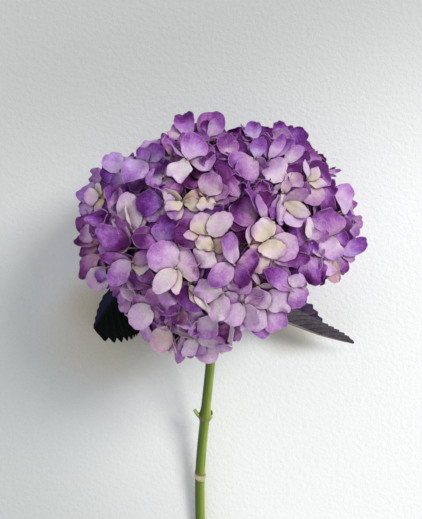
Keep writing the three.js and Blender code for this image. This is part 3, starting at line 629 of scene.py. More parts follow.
def drawSepal(chance, length, width, tint):
    look = sepalLook
    return {
        "length": min(length, look["longest"]),
        "width": width,
        "tint": tint,
        "curl": math.radians(look["curl"] * chance.uniform(-0.9, 1.7)),
        "cross": look["cross"] * chance.uniform(-1.2, 1.8),
        "wave": look["wave"] * chance.uniform(0.4, 1.7),
        "waveCount": chance.choice([2, 3, 3, 4, 5]),
        "fold": look["fold"] * chance.choice([-0.6, 0.0, 0.3, 0.7, 1.6]),
        "crease": look["crease"] * chance.uniform(0.2, 1.5),
        "uneven": look["uneven"] * chance.uniform(0.1, 1.4),
        "unevenCount": chance.choice([2, 3, 3, 4]),
        "ragged": look["ragged"] * chance.uniform(0.2, 1.6),
        "ragCount": chance.choice([8, 9, 11, 12]),
        "notch": look["notch"] * max(0.0, chance.uniform(-1.2, 1.2)),
        "point": look["point"] * chance.uniform(-0.3, 1.6),
        "twist": math.radians(look["twistDeg"] * chance.uniform(-1, 1)),
        "pleat": look["pleat"] * chance.uniform(0.3, 1.7),
        "pleatCount": chance.choice([6, 7, 8]),
        "phase": chance.uniform(0, 2 * math.pi),
        "shade": look["shade"] * chance.uniform(-1, 1),
    }


# Give a sepal its own directions: along, across and out of its face, turned about its length
def turnSepal(sepal, along, facing, rollDeg):
    along = unit(along)
    out = unit(facing - along * np.dot(facing, along))
    roll = math.radians(rollDeg)
    out = out * math.cos(roll) + np.cross(along, out) * math.sin(roll)
    sepal["along"], sepal["out"], sepal["across"] = along, out, np.cross(along, out)
    return sepal


# How far out of the floret's middle its sheets start, and how much lower each one is than the last
sheetStart = {"along": 0.7, "above": 0.6, "lower": 0.3}


# The sheet of one sepal in the bloom
def sepalSheet(flat, floret, k):
    sepal = floret["sepals"][k]
    local = bent(flat[:, 0], flat[:, 1], sepal)
    above = sheetStart["above"] - sheetStart["lower"] * k
    start = floret["place"] + sepal["along"] * sheetStart["along"] + floret["normal"] * above
    directions = np.stack([sepal["along"], sepal["across"], sepal["out"]])
    return keptAbove(pressed(start + local @ directions), floret["layer"])


# Sepals are laid from the topmost down: each one bends out of the way of those that lie over it
weave = {
    "cell": 0.8,
    "finer": 4,                     # looked at this many times as finely as its own points
    "gap": 0.55,
    "most": 7.0,
    "reach": 125.0,
    "smoothings": 7,
    "fade": 0.97,
    "lowest": 0.3,
    "shadeReaches": (1.2, 2.6),     # how far from the edge of an upper sepal its shade is felt
    "shadeTurns": 8,
    "shadeFade": 7.0,
    "shadeHeights": (0.3, 100),      # least and most height that counts
    "levelGap": 0.35,               # between the sepals of one floret
    "facing": -0.1,
}


# Where the camera sees a place against the plane of the outline
def seenOnPlane(points):
    scale = (eye[2] - outlineHeight) / (eye[2] - points[..., 2])
    return (points[..., 0] - eye[0]) * scale + eye[0], (points[..., 1] - eye[1]) * scale + eye[1]


def cellsOf(points, side):
    x, y = seenOnPlane(points)
    column = np.clip(((x + weave["reach"]) / weave["cell"]).astype(int), 0, side - 1)
    row = np.clip(((y + weave["reach"]) / weave["cell"]).astype(int), 0, side - 1)
    return row, column


# Steps between the points of a sheet: the point before each step, and the share of the way on
def between(count):
    steps = np.linspace(0, count - 1, (count - 1) * weave["finer"] + 1)
    start = np.minimum(steps.astype(int), count - 2)
    return start, steps - start


def finer(grid):
    rows, down = between(grid.shape[0])
    columns, right = between(grid.shape[1])
    down, right = down[:, None, None], right[None, :, None]
    top = grid[rows][:, columns] * (1 - right) + grid[rows][:, columns + 1] * right
    low = grid[rows + 1][:, columns] * (1 - right) + grid[rows + 1][:, columns + 1] * right
    return top * (1 - down) + low * down


# Where a settled sepal lies close under others it takes a deeper tone: this share sets that painted shade
def coveredShare(over, row, column, height):
    side = len(over)
    steps = [(0, 0)]
    for reach in weave["shadeReaches"]:
        for turn in range(weave["shadeTurns"]):
            angle = turn * 2 * math.pi / weave["shadeTurns"]
            steps.append((round(reach / weave["cell"] * math.sin(angle)),
                          round(reach / weave["cell"] * math.cos(angle))))
    share = np.zeros(len(height))
    least, most = weave["shadeHeights"]
    for down, right in steps:
        above = over[np.clip(row + down, 0, side - 1), np.clip(column + right, 0, side - 1)] - height
        share += np.exp(-np.clip(above, 0, most) / weave["shadeFade"]) * (above > least)
    return share / len(steps)


# How far each point of a sheet goes down: as far as any part beside it needs, eased out round it
def easedDown(push, rows, columns):
    step = weave["finer"]
    wide = np.zeros((rows, columns))
    for r in range(rows):
        for c in range(columns):
            wide[r, c] = push[max(0, (r - 1) * step + 1):(r + 1) * step,
                              max(0, (c - 1) * step + 1):(c + 1) * step].max()
    for _ in range(weave["smoothings"]):
        ring = np.pad(wide, 1, mode="edge")
        mean = (ring[:-2, 1:-1] + ring[2:, 1:-1] + ring[1:-1, :-2] + ring[1:-1, 2:]) / 4
        wide = np.maximum(wide, mean * weave["fade"])
    return wide


def settleSheets(sheets):
    shades = []
    side = int(2 * weave["reach"] / weave["cell"])
    over = np.full((side, side), 1e9)
    rows, columns = sepalLook["rows"] + 1, sepalLook["columns"] + 1
    for points in sheets:
        grid = points.reshape(rows, columns, 3)
        dense = finer(grid)
        push = np.clip(dense[..., 2] - (over[cellsOf(dense, side)] - weave["gap"]), 0, weave["most"])
        grid[..., 2] -= easedDown(push, rows, columns)
        keptAbove(grid, weave["lowest"])
        shades.append(coveredShare(over, *cellsOf(points, side), points[:, 2]))
        dense = finer(grid)
        np.minimum.at(over, cellsOf(dense, side), dense[..., 2])
    return shades


# Place each sepal of the florets in the bloom
def layFlorets(florets, patterns):
    flat = readPoints(patterns["sepal"])
    laid = []
    for floret in florets:
        for k in range(len(floret["sepals"])):
            floret["sheets"][k] = sepalSheet(flat, floret, k)
            laid.append((floret["order"] - weave["levelGap"] * k, floret, k))
    laid.sort(key=lambda item: -item[0])
    facing = [(floret, k) for _, floret, k in laid if floret["normal"][2] > weave["facing"]]
    for (floret, k), shade in zip(facing, settleSheets([floret["sheets"][k] for floret, k in facing])):
        floret["shades"][k] = shade


# A sepal's depth, creaminess and warmth at its floret's place, with the painted shade and light of its
# region
def tintAt(place, tint):
    depth, cream, warm = tints[tint]
    for x, y, reach, deeper, warmer in regionLightAndShade:
        near = math.exp(-((place[0] - x) ** 2 + (place[1] - y) ** 2) / reach ** 2)
        ease = max(palerEase["least"], palerEase["from"] - palerEase["lessByDepth"] * depth)
        depth = depth + deeper * (1.0 if deeper > 0 else ease) * near
        warm = warm + warmer * near
    return depth, cream, warm


def growSepals(floret, patterns):
    grown = []
    for k, sepal in enumerate(floret["sepals"]):
        piece = copyOf(patterns["sepal"], "sepal")
        points = floret["sheets"][k]
        writePoints(piece, points * mm)
        depth, cream, warm = tintAt(floret["place"], sepal["tint"])
        addVectors(piece, "sepalTint", np.tile([depth + sepal["shade"], cream, warm], (len(points), 1)))
        covered = floret["shades"].get(k, np.zeros(len(points)))
        addVectors(piece, "sepalShade", np.stack([covered, covered, covered], axis=1))
        grown.append(piece)
    return grown


def growBud(floret, patterns):
    piece = copyOf(patterns["bud"], "bud")
    points = readPoints(piece) * floret["bud"] @ np.stack([floret["e1"], floret["e2"], floret["normal"]])
    points = pressed(points + floret["place"] + floret["normal"] * budLook["above"])
    writePoints(piece, keptAbove(points, budLook["lowest"]) * mm)
    return piece


stalkLook = {
    "sides": 6,
    "lengths": 4,
    "below": 0.3,
    "intoHub": 0.7,
    "bend": 0.4,
    "radii": (0.5, 0.8),
    "lowest": 0.2,
}


# A thin stalk from under the floret down to the hub over the stem's top
def growStalk(floret, patterns):
    start = floret["place"] - floret["normal"] * stalkLook["below"]
    end = hub + unit(floret["place"] - hub) * hubLook["radius"] * stalkLook["intoHub"]
    bend = start - floret["outward"] * np.linalg.norm(start - end) * stalkLook["bend"]
    piece = copyOf(patterns["stalk"], "stalk")
    points = readPoints(piece)
    h = points[:, 2:]
    line = start * (1 - h) ** 2 + 2 * bend * h * (1 - h) + end * h * h
    u, v = acrossNormal(unit(end - start))
    points = pressed(line + (points[:, :1] * u + points[:, 1:2] * v) * mix(*stalkLook["radii"], h))
    writePoints(piece, keptAbove(points, stalkLook["lowest"]) * mm)
    return piece


def newFloret(chance, home, normal, sepals, lift, layer=0.0):
    e1, e2 = acrossNormal(normal)
    return {
        "home": home, "outward": domeNormal(home), "normal": normal, "e1": e1, "e2": e2,
        "sepals": sepals, "lift": lift, "order": lift, "layer": layer,
        "bud": chance.uniform(*budLook["radius"]), "sheets": {}, "shades": {},
    }


# A floret from its row: each sepal's length is the one seen from above
def seenFloret(row, index):
    look = seenLook
    x, y, lift, *sepals = row
    chance = random.Random(look["seed"] + index)
    home = domeOver(x, y)
    normal = unit(domeNormal(home) * look["outward"] + np.array([0, 0, look["upward"]]))
    facing = unit(normal + np.array([0, 0, look["facingUp"]]))
    grown = []
    for k, (deg, length, rise, width, tint, *roll) in enumerate(sepals):
        flatway = np.array([math.cos(math.radians(deg)), math.sin(math.radians(deg)), 0.0])
        slope = -np.dot(normal, flatway) / max(normal[2], look["upward"])
        climb = np.clip(slope + math.tan(math.radians(rise)), -look["steepest"], look["steepest"])
        along = flatway + np.array([0, 0, climb])
        if k and width > sepalLook["wide"]:
            width = width * sepalLook["lowerWider"]
        roll = sum(roll) + chance.uniform(-1, 1) * sepalLook["rollDeg"][min(k, 1)]
        sepal = drawSepal(chance, length * sepalLook["longer"] * np.linalg.norm(along), width, tint)
        grown.append(turnSepal(sepal, along, facing, roll))
    floret = newFloret(chance, home, normal, grown, lift)
    floret["place"] = centre + home + np.array([0, 0, lift - look["sunk"]])
    return floret


# A floret by rule, facing outwards with a small lean
def ruleFloret(home, rule, seed, layer):
    draws = ruleDraws
    chance = random.Random(seed)
    lean = np.array([chance.uniform(-draws["lean"], draws["lean"]) for _ in range(3)])
    normal = unit(domeNormal(home) + lean)
    e1, e2 = acrossNormal(normal)
    spin = chance.uniform(0, 360)
    size = chance.uniform(*rule["radius"])
    tint = chance.choice(rule["tints"])
    rise = chance.uniform(*rule["riseDeg"])
    grown = []
    for k in range(4):
        own = tint if chance.random() < draws["sameTint"] else chance.choice(rule["tints"])
        turn = math.radians(spin + 90 * k + chance.uniform(-draws["turnDeg"], draws["turnDeg"]))
        up = math.radians(rise + chance.uniform(*draws["riseDeg"]))
        along = (e1 * math.cos(turn) + e2 * math.sin(turn)) * math.cos(up) + normal * math.sin(up)
        length = size * chance.uniform(*draws["length"])
        sepal = drawSepal(chance, length, length * chance.uniform(*draws["width"]), own)
        roll = chance.uniform(-draws["rollDeg"], draws["rollDeg"])
        grown.append(turnSepal(sepal, along, normal, roll))
    return newFloret(chance, home, normal, grown, chance.uniform(-draws["lift"], draws["lift"]), layer)


# Whether a place stays inside the bloom's outline in the photograph, seen from its camera
def insideOutline(place):
    x, y = seenOnPlane(place)
    inside = False
    for (ax, ay), (bx, by) in zip(bloomOutline, bloomOutline[1:] + bloomOutline[:1]):
        if (ay > y) != (by > y) and x < ax + (y - ay) * (bx - ax) / (by - ay):
            inside = not inside
    return inside


# Spots of a sepal that are tried against the outline, in shares of its length and width
outlineSpots = {"tip": 1.06, "widest": 0.7, "side": 0.45, "corner": 0.6, "cornerSide": 0.7}


# The sepals of a floret that stay inside the outline, with their sides as well as their tips
def sepalsInside(floret):
    spots = outlineSpots
    kept = []
    for sepal in floret["sepals"]:
        tip = floret["place"] + sepal["along"] * sepal["length"] * spots["tip"]
        wide = floret["place"] + sepal["along"] * sepal["length"] * spots["widest"]
        side = sepal["across"] * sepal["width"] * spots["side"]
        corner = mix(wide, tip, spots["corner"])
        inner = side * spots["cornerSide"]
        tried = (tip, wide + side, wide - side, corner + inner, corner - inner)
        if all(insideOutline(spot) for spot in tried):
            kept.append(sepal)
    return kept


spiralStart = 0.4


# Places spread evenly over the dome, from its crown to the rule's last angle
def spiralPlaces(rule):
    golden = math.pi * (3 - math.sqrt(5))
    u, v = acrossNormal(axis)
    last = math.cos(math.radians(rule["polarDeg"]))
    for i in range(rule["places"]):
        cosine = mix(1, last, (i + 0.5) / rule["places"])
        sine = math.sqrt(1 - cosine * cosine)
        turn = i * golden + spiralStart
        yield i, domePlace(unit(axis * cosine + u * math.cos(turn) * sine + v * math.sin(turn) * sine))


# Neighbouring florets settle at three heights, so that their sepals pass over each other
levelLook = {"near": 30, "liftWeight": 0.03, "share": 0.7}


def settleLevels(florets, step):
    near = levelLook["near"]
    for i, floret in enumerate(florets):
        gaps = [(other["level"], np.linalg.norm(other["home"] - floret["home"])) for other in florets[:i]]

        def crowding(level):
            cost = abs(level - floret["lift"]) * levelLook["liftWeight"]
            return sum(((near - gap) / near for taken, gap in gaps if taken == level and gap < near), cost)

        floret["level"] = min((0, step, -step), key=crowding)
        height = floret["level"] * levelLook["share"] + floret["lift"]
        floret["place"] = centre + floret["home"] + floret["outward"] * height


# When a floret's sepals are laid, and which of them stay
def ready(floret, rule):
    floret["order"] = floret["place"][2] + rule["order"]
    floret["sepals"] = sepalsInside(floret)
    return floret


# Leaf and stem routes, the same as the CAD's
stemLook = {
    "topRadius": 3.4,
    "endRadius": 4.0,
    "sides": 18,
    "steps": 136,
    "cutRim": 0.25,     # share of the radius that is skin at the cut end
    "lowest": 0.1,
    "cutWithin": 0.9,
    "smoothDeg": 60,
    "route": [
        (-4.6, -38.0, 63.0), (-5.7, -52.0, 57.6), (-6.2, -66.0, 52.6), (-7.1, -89.0, 44.6),
        (-10.9, -129.0, 28.0), (-15.2, -178.0, 12.9), (-15.3, -218.0, 6.5), (-14.2, -262.0, 4.4),
    ],
    "nodes": [          # place along it, swell and half width
        (0.115, 1.5, 0.022), (0.441, 1.5, 0.009), (0.434, 0.6, 0.02), (0.656, 0.7, 0.012),
    ],
    "grooves": (4, 0.03, 0.03),     # how many, how deep, and how they turn on the way down
}

# What grows from the stem's upper visible joint, and the rays in the bloom: places from their start,
# and radii. A ray's places are steps along the dome's axis and sideways
stubLook = {
    "route": [(0, 0, 0), (-4.0, 0.0, 0.6), (-5.8, 1.6, 0.9), (-7.0, 3.6, 1.1), (-8.0, 5.2, 1.2),
              (-8.2, 5.5, 1.2)],
    "radii": [2.2, 1.9, 1.5, 1.3, 1.35, 0.9],
    "sides": 10,
    "cutTone": 0.9,
}
jointBudLook = {
    "route": [(0, 0, 0), (3.4, 0.8, 0.8), (4.6, 2.3, 1.1), (5.0, 3.8, 1.4), (4.8, 5.0, 1.45)],
    "radii": [1.6, 1.7, 1.4, 0.9, 0.2],
    "sides": 8,
    "cutTone": 0.0,
}
rayLook = {
    "count": 15,
    "firstTurn": 0.3,
    "spreads": (1.0, 0.5, 1.35),
    "foot": 12,         # step of the stem that they leave
    "route": [(0, 0), (7, 6), (17, 15), (30, 23), (44, 29)],
    "radii": [1.9, 1.5, 1.3, 1.1, 0.8],
    "sides": 8,
}

# Both leaves. Each half has a direction, a width and a bow; pairs give its first half, then the other
leafStart = (-6.3, -60.0, 54.9)
leafLooks = {
    "leafLeft": {
        "route": [leafStart, (-26, -48, 52), (-50, -38, 47.5), (-76, -45, 36), (-97.5, -68.5, 12)],
        "halves": [((0.5, -0.83, -0.25), 30, 2.4), ((-0.75, 0.12, -0.65), 13, 1.6)],
        "from": 0.16,
        "teeth": 14,
        "toothDepth": 4.2,
        "toothShare": (1.0, 0.2),
        "tipTeeth": 30,     # how soon the teeth fade towards the tip
        "puff": 0.7,
        "narrowed": (0.0, 0.0),
        "blunt": (0.62, 1.0),
        "sweep": 0.35,
    },
    "leafRight": {
        "route": [leafStart, (14, -58, 47), (45, -61, 31), (78, -73, 20), (103, -80, 14)],
        "halves": [((0.0, 0.93, 0.2), 19, 1.6), ((0.05, 0.55, 0.8), 18, -1.6)],
        "from": 0.2,
        "teeth": 15,
        "toothDepth": 1.5,
        "toothShare": (1.0, 1.0),
        "tipTeeth": 5,
        "puff": 0.8,
        "narrowed": (0.75, 0.0),
        "blunt": (1.0, 0.8),
        "sweep": 0.16,
    },
}

# What the two leaves share
leafForm = {
    "thickness": 0.5,
    "columns": 8,           # in each half
    "rowsPerTooth": 6,
    "ribSteps": 240,
    "toothPeak": 0.62,      # share of a tooth at which it is longest
    "teethFadeIn": 6,
    "least": 0.9,           # half width that is always left
    "swellPowers": (0.82, 0.85),
    "swellReach": (0.97, 0.02),
    "ribStep": 0.02,
    "tipLeft": 0.15,        # of a tooth at the tip
    "narrowing": (0.5, 0.35),   # where a narrowed half starts, and over how far
    "bowFrom": 0.7,         # share of its width from which a half has its whole bow
    "puffFrom": 8,
    "toothForward": 0.5,
    "veins": 11,
    "veinSlope": 0.17,
    "stalkRadii": (1.9, 0.45),
    "stalkSteps": 24,
    "stalkSides": 8,
    "stalkEnd": 0.95,
    "smoothDeg": 60,
    "lowest": 0.8,
}


# Points that the hidden florets keep clear of
def clearPoints(stemSteps=34, ribSteps=14):
    points = list(smoothRoute(stemLook["route"], stemSteps)[2:])
    for look in leafLooks.values():
        rib = smoothRoute(look["route"], ribSteps)
        points.extend(rib)
        for direction, width, _ in look["halves"]:
            for share in (0.35, 0.55, 0.75):
                for out in (0.5, 0.9):
                    points.append(rib[int(share * ribSteps)] + unit(direction) * width * out)
    return np.array(points)


# Florets by rule on the sides and the hidden half
def seatAround(seats, clear):
    rule, around = ruleFlorets, []
    for i, home in spiralPlaces(rule):
        world = pressed(centre + home)
        byRest = world[2] < restFloret["below"] and math.hypot(world[0], world[1]) < restFloret["room"]
        if byRest or tooNear(seats, home, rule["spacing"]) or tooNear(clear, world, rule["clearOfStem"]):
            continue
        if insideOutline(world):
            seats.append(home)
            layer = rule["layers"][i % len(rule["layers"])]
            around.append(ruleFloret(home, rule, rule["seed"] + i, layer))
    settleLevels(around, rule["levelStep"])
    return [ready(floret, rule) for floret in around]


# Small florets between them, each second one upright
def seatFilling(seats, clear):
    rule, filling, homes = fillFlorets, [], []
    for i, home in spiralPlaces(rule):
        if home[2] < rule["lowest"] or tooNear(seats, home, rule["fromSeen"]):
            continue
        world = centre + home * rule["share"]
        if tooNear(homes, home, rule["spacing"]) or tooNear(clear, world, rule["clearOfStem"]):
            continue
        if insideOutline(world):
            own = fillFlorets if len(filling) % 2 else uprightFlorets
            floret = ruleFloret(home, own, own["seed"] + i, own["layers"][0])
            floret["place"] = centre + home * own["share"]
            homes.append(home)
            filling.append(ready(floret, own))
    return filling


def seatUnder(clear):
    rule, under, homes = underFlorets, [], []
    for i, home in spiralPlaces(rule):
        home = home * rule["share"]
        world = pressed(centre + home)
        if tooNear(homes, home, rule["spacing"]) or tooNear(clear, world, rule["clearOfStem"]):
            continue
        homes.append(home)
        under.append(ruleFloret(home, rule, rule["seed"] + i, rule["layers"][0]))
    settleLevels(under, rule["levelStep"])
    return [ready(floret, rule) for floret in under]


def seatRest():
    look = restFloret
    rest = ruleFloret(np.array(look["home"]), ruleFlorets, look["seed"], 0.0)
    rest["normal"] = np.array([0.0, 0.0, -1.0])
    rest["e1"], rest["e2"] = acrossNormal(rest["normal"])
    for k, sepal in enumerate(rest["sepals"]):
        turn = math.radians(90 * k + look["turnDeg"])
        turnSepal(sepal, np.array([math.cos(turn), math.sin(turn), 0.0]), rest["normal"], 0)
    rest["place"] = np.array(look["place"])
    rest["order"] = look["order"]
    return rest


def allFlorets():
    seen = [seenFloret(row, i) for i, row in enumerate(seenFlorets)]
    seats = [floret["home"] for floret in seen]
    clear = clearPoints()
    around = seatAround(seats, clear)
    around = [f for f in around + seatFilling(seats, clear) if len(f["sepals"]) > 1]
    under = [f for f in seatUnder(clear) if len(f["sepals"]) > 1]
    return seen, around + [seatRest()], under


# Node helpers. A value is a number, a colour or what another node puts out
def paint(red, green, blue):
    def straight(value):
        value = value / 255
        return value / 12.92 if value <= 0.04045 else ((value + 0.055) / 1.055) ** 2.4
    return (straight(red), straight(green), straight(blue), 1.0)


def node(tree, kind, **settings):
    made = tree.nodes.new("ShaderNode" + kind)
    for key, value in settings.items():
        setattr(made, key, value)
    return made


def feed(socket, value):
    if isinstance(value, bpy.types.NodeSocket):
        socket.id_data.links.new(value, socket)
    else:
        socket.default_value = value


def treeOf(*values):
    return next(value.id_data for value in values if isinstance(value, bpy.types.NodeSocket))


def maths(what, *values, clamp=False):
    made = node(treeOf(*values), "Math", operation=what, use_clamp=clamp)
    for socket, value in zip(made.inputs, values):
        feed(socket, value)
    return made.outputs[0]


def plus(a, b, clamp=False):
    return maths("ADD", a, b, clamp=clamp)


def times(a, b):
    return maths("MULTIPLY", a, b)


def timesPlus(value, by, more):
    return maths("MULTIPLY_ADD", value, by, more)


# A noise brought to swing about 0, so far in all
def swing(value, size):
    return timesPlus(value, size, -size / 2)


def distance(x, y):
    return maths("SQRT", plus(times(x, x), times(y, y)))


def positive(value, clamp=False):
    return maths("MAXIMUM", value, 0.0, clamp=clamp)


def blend(factor, a, b, mode="MIX"):
    made = node(treeOf(factor, a, b), "Mix", data_type="RGBA", blend_type=mode)
    feed(made.inputs[0], factor)
    feed(made.inputs[6], a)
    feed(made.inputs[7], b)
    return made.outputs[2]


# The colour multiplied by another one, by so much
def tinted(factor, colour, by):
    return blend(factor, colour, blend(1.0, colour, by, "MULTIPLY"))


def ranged(value, fromLow, fromHigh, toLow=0.0, toHigh=1.0):
    made = node(treeOf(value), "MapRange", interpolation_type="SMOOTHSTEP")
    for socket, item in zip(made.inputs, (value, fromLow, fromHigh, toLow, toHigh)):
        feed(socket, item)
    return made.outputs[0]


def noise(where, scale, detail=2.0, rough=0.5):
    made = node(treeOf(where), "TexNoise")
    feed(made.inputs["Vector"], where)
    made.inputs["Scale"].default_value = scale
    made.inputs["Detail"].default_value = detail
    made.inputs["Roughness"].default_value = rough
    return made.outputs["Fac"]


def split(vector):
    made = node(treeOf(vector), "SeparateXYZ")
    feed(made.inputs[0], vector)
    return made.outputs


def together(*values):
    made = node(treeOf(*values), "CombineXYZ")
    for socket, value in zip(made.inputs, values):
        feed(socket, value)
    return made.outputs[0]


def attribute(tree, name):
    return node(tree, "Attribute", attribute_name=name).outputs["Vector"]


def objectPlace(tree):
    return node(tree, "TexCoord").outputs["Object"]


def newGroup(name, inputs, outputs):
    tree = bpy.data.node_groups.new(name, "ShaderNodeTree")
    for label, kind, value in inputs:
        socket = tree.interface.new_socket(label, in_out="INPUT", socket_type="NodeSocket" + kind)
        if value is not None:
            socket.default_value = value
    for label, kind in outputs:
        tree.interface.new_socket(label, in_out="OUTPUT", socket_type="NodeSocket" + kind)
    return tree, tree.nodes.new("NodeGroupInput").outputs, tree.nodes.new("NodeGroupOutput").inputs


def placedGroup(tree, group, **values):
    made = node(tree, "Group", node_tree=group)
    for name, value in values.items():
        feed(made.inputs[name], value)
    return made.outputs


def newMaterial(name, roughness, specular):
    material = bpy.data.materials.new(name)
    material.use_nodes = True
    material.node_tree.nodes.clear()
    skin = node(material.node_tree, "BsdfPrincipled")
    skin.inputs["Roughness"].default_value = roughness
    skin.inputs["Specular IOR Level"].default_value = specular
    return material, material.node_tree, skin


def addBump(skin, height, strength, depth):
    bump = node(skin.id_data, "Bump")
    bump.inputs["Strength"].default_value = strength
    bump.inputs["Distance"].default_value = depth
    feed(bump.inputs["Height"], height)
    feed(skin.inputs["Normal"], bump.outputs[0])
    return bump.outputs[0]


def showSurface(shader):
    feed(node(shader.id_data, "OutputMaterial").inputs["Surface"], shader.outputs[0])


# Noises of a sepal's skin: scale, detail and roughness
sepalNoises = {
    "cloud": (130.0, 3.0, 0.6),
    "broad": (42.0, 2.0, 0.5),
    "fine": (900.0, 2.0, 0.7),
    "crinkle": (330.0, 2.0, 0.5),
    "streak": (1.6, 3.0, 0.6),
}

# The depths at which a sepal's colours give way to each other, from pale to deep
sepalSteps = [("Pale", 0.0, 0.26), ("Lilac", 0.24, 0.55), ("Violet", 0.5, 0.8), ("Deep", 0.76, 1.0)]

sepalColours = {
    "Cream": paint(252, 240, 243),
    "Butter": paint(247, 234, 215),
    "Pale": paint(234, 201, 240),
    "Lilac": paint(201, 141, 217),
    "Violet": paint(154, 76, 179),
    "Deep": paint(104, 26, 118),
    # The last three multiply the colour; the first of them is painted shade under other sepals
    "PaintedShade": (0.37, 0.11, 0.36, 1.0),
    "Warm": (0.88, 0.76, 0.58, 1.0),
    "Cool": (0.74, 0.86, 1.1, 1.0),
}

veinFan = {"across": 16.0, "along": 1.3, "perDepth": 37.0, "root": 0.22}


# Colour of a sepal from its tint, its place along and across, and which face it is
def sepalColourGroup():
    vectors = [(name, "Vector", None) for name in ("Tint", "Place", "Object", "Shade")]
    colours = [(name, "Color", colour) for name, colour in sepalColours.items()]
    tree, given, out = newGroup("sepalColour", vectors + colours, [("Colour", "Color"), ("Height", "Float")])
    depth, cream, warm = split(given["Tint"])
    across, along, under = split(given["Place"])
    where = given["Object"]
    cloud, broad, fine, crinkle = (
        noise(where, *sepalNoises[name]) for name in ("cloud", "broad", "fine", "crinkle"))
    far = distance(across, timesPlus(along, 2.0, -1.0))
    fan = maths("DIVIDE", across, plus(along, veinFan["root"]))
    veinPlace = together(
        times(fan, veinFan["across"]), times(along, veinFan["along"]), times(depth, veinFan["perDepth"]))
    streak = noise(veinPlace, *sepalNoises["streak"])

    # How deep the violet is here: it grows outwards, and clouds, veins and grain break it up
    outward = plus(times(far, ranged(along, 0.1, 0.5)), swing(cloud, 0.5))
    grow = ranged(plus(along, swing(cloud, 0.6)), 0.1, 0.95)
    darkBase = times(positive(times(cream, -1.0)), ranged(along, 0.75, 0.1, 0.0, 0.75))
    amount = times(depth, timesPlus(grow, 0.62, 0.5))
    amount = plus(amount, times(ranged(outward, 0.7, 1.15), ranged(depth, 0.0, 0.7, 0.2, 0.04)))
    for pattern, size in ((broad, 0.4), (streak, 0.42), (cloud, 0.4)):
        amount = plus(amount, swing(pattern, size))
    amount = plus(plus(amount, darkBase), swing(fine, 0.4), clamp=True)
    colour = given["Cream"]
    for name, start, end in sepalSteps:
        colour = blend(ranged(amount, start, end), colour, given[name])

    # Cream and butter stay near the base
    creamHere = times(positive(cream), ranged(grow, 0.1, 1.0, 1.0, 0.3))
    colour = blend(creamHere, colour, given["Cream"])
    butterHere = times(ranged(cream, 0.4, 0.85), ranged(grow, 0.9, 0.2, 0.0, 0.9))
    colour = blend(butterHere, colour, given["Butter"])

    # Warmer or cooler
    warmHere = times(maths("MAXIMUM", warm, times(darkBase, 0.6)), ranged(cloud, 0.3, 0.7, 0.7, 1.15))
    colour = tinted(positive(warmHere, clamp=True), colour, given["Warm"])
    colour = tinted(positive(times(warm, -1.0)), colour, given["Cool"])

    # A painted highlight along the rim, a paler underside, and painted shade where the sepal lies close
    # under others
    rim = times(ranged(far, 0.93, 1.0, 0.0, 0.55), ranged(along, 0.15, 0.5))
    colour = blend(times(rim, ranged(cloud, 0.42, 0.6)), colour, given["Pale"])
    colour = blend(times(under, 0.2), colour, given["Lilac"])
    # Painted shade: darker and more violet where the sepal lies close under others
    covered = split(given["Shade"])[0]
    colour = tinted(ranged(covered, 0.03, 0.62, 0.0, 0.88), colour, given["PaintedShade"])
    feed(out["Colour"], colour)
    feed(out["Height"], plus(plus(times(streak, 0.7), times(fine, 0.35)), crinkle))
    return tree


# Sepal: soft matt skin that lets some light through
def sepalMaterial(group, throughShare=0.28):
    material, tree, skin = newMaterial("sepalSkin", 0.55, 0.3)
    colour, height = placedGroup(
        tree, group, Tint=attribute(tree, "sepalTint"), Place=attribute(tree, "sepalPlace"),
        Shade=attribute(tree, "sepalShade"), Object=objectPlace(tree))
    feed(skin.inputs["Base Color"], colour)
    normal = addBump(skin, height, 0.6, 0.0012)
    through = node(tree, "BsdfTranslucent")
    feed(through.inputs["Color"], colour)
    feed(through.inputs["Normal"], normal)
    both = node(tree, "MixShader")
    both.inputs[0].default_value = throughShare
    feed(both.inputs[1], skin.outputs[0])
    feed(both.inputs[2], through.outputs[0])
    showSurface(both)
    return material


# Two colours clouded into each other, with an optional bump
def cloudedMaterial(name, first, second, scale, roughness, bumpBy=0.0, specular=0.4):
    material, tree, skin = newMaterial(name, roughness, specular)
    cloud = noise(objectPlace(tree), scale, 4.0, 0.6)
    feed(skin.inputs["Base Color"], blend(ranged(cloud, 0.35, 0.65), paint(*first), paint(*second)))
    if bumpBy:
        addBump(skin, cloud, 0.5, bumpBy)
    showSurface(skin)
    return material


# The stem's green, the layers over it (what guides each, from, to, amount and tone), and the rings at its
# joints (place along it, half width, tone and amount). The layers guided by "turned" are painted light and
# shade: painted shade on the left side, a painted highlight on the right
stemTones = {
    "green": (86, 110, 14),
    "layers": [
        ("turned", 0.15, -0.55, 1.0, (134, 150, 48)),
        ("turned", 0.2, 0.85, 0.9, (50, 66, 3)),
        ("turned", -0.7, -0.97, 0.6, (186, 202, 140)),
        ("cloud", 0.5, 0.8, 0.4, (110, 130, 36)),
        ("streak", 0.56, 0.72, 0.6, (62, 80, 12)),
        ("speck", 0.64, 0.72, 0.4, (70, 96, 30)),
    ],
    "rings": [
        (0.444, 0.008, (132, 110, 78), 0.7), (0.662, 0.013, (204, 194, 164), 0.85),
        (0.648, 0.004, (120, 92, 66), 0.7), (0.676, 0.003, (84, 92, 40), 0.7),
    ],
    "ringSlope": 0.004,
    "cut": (206, 196, 150),
}


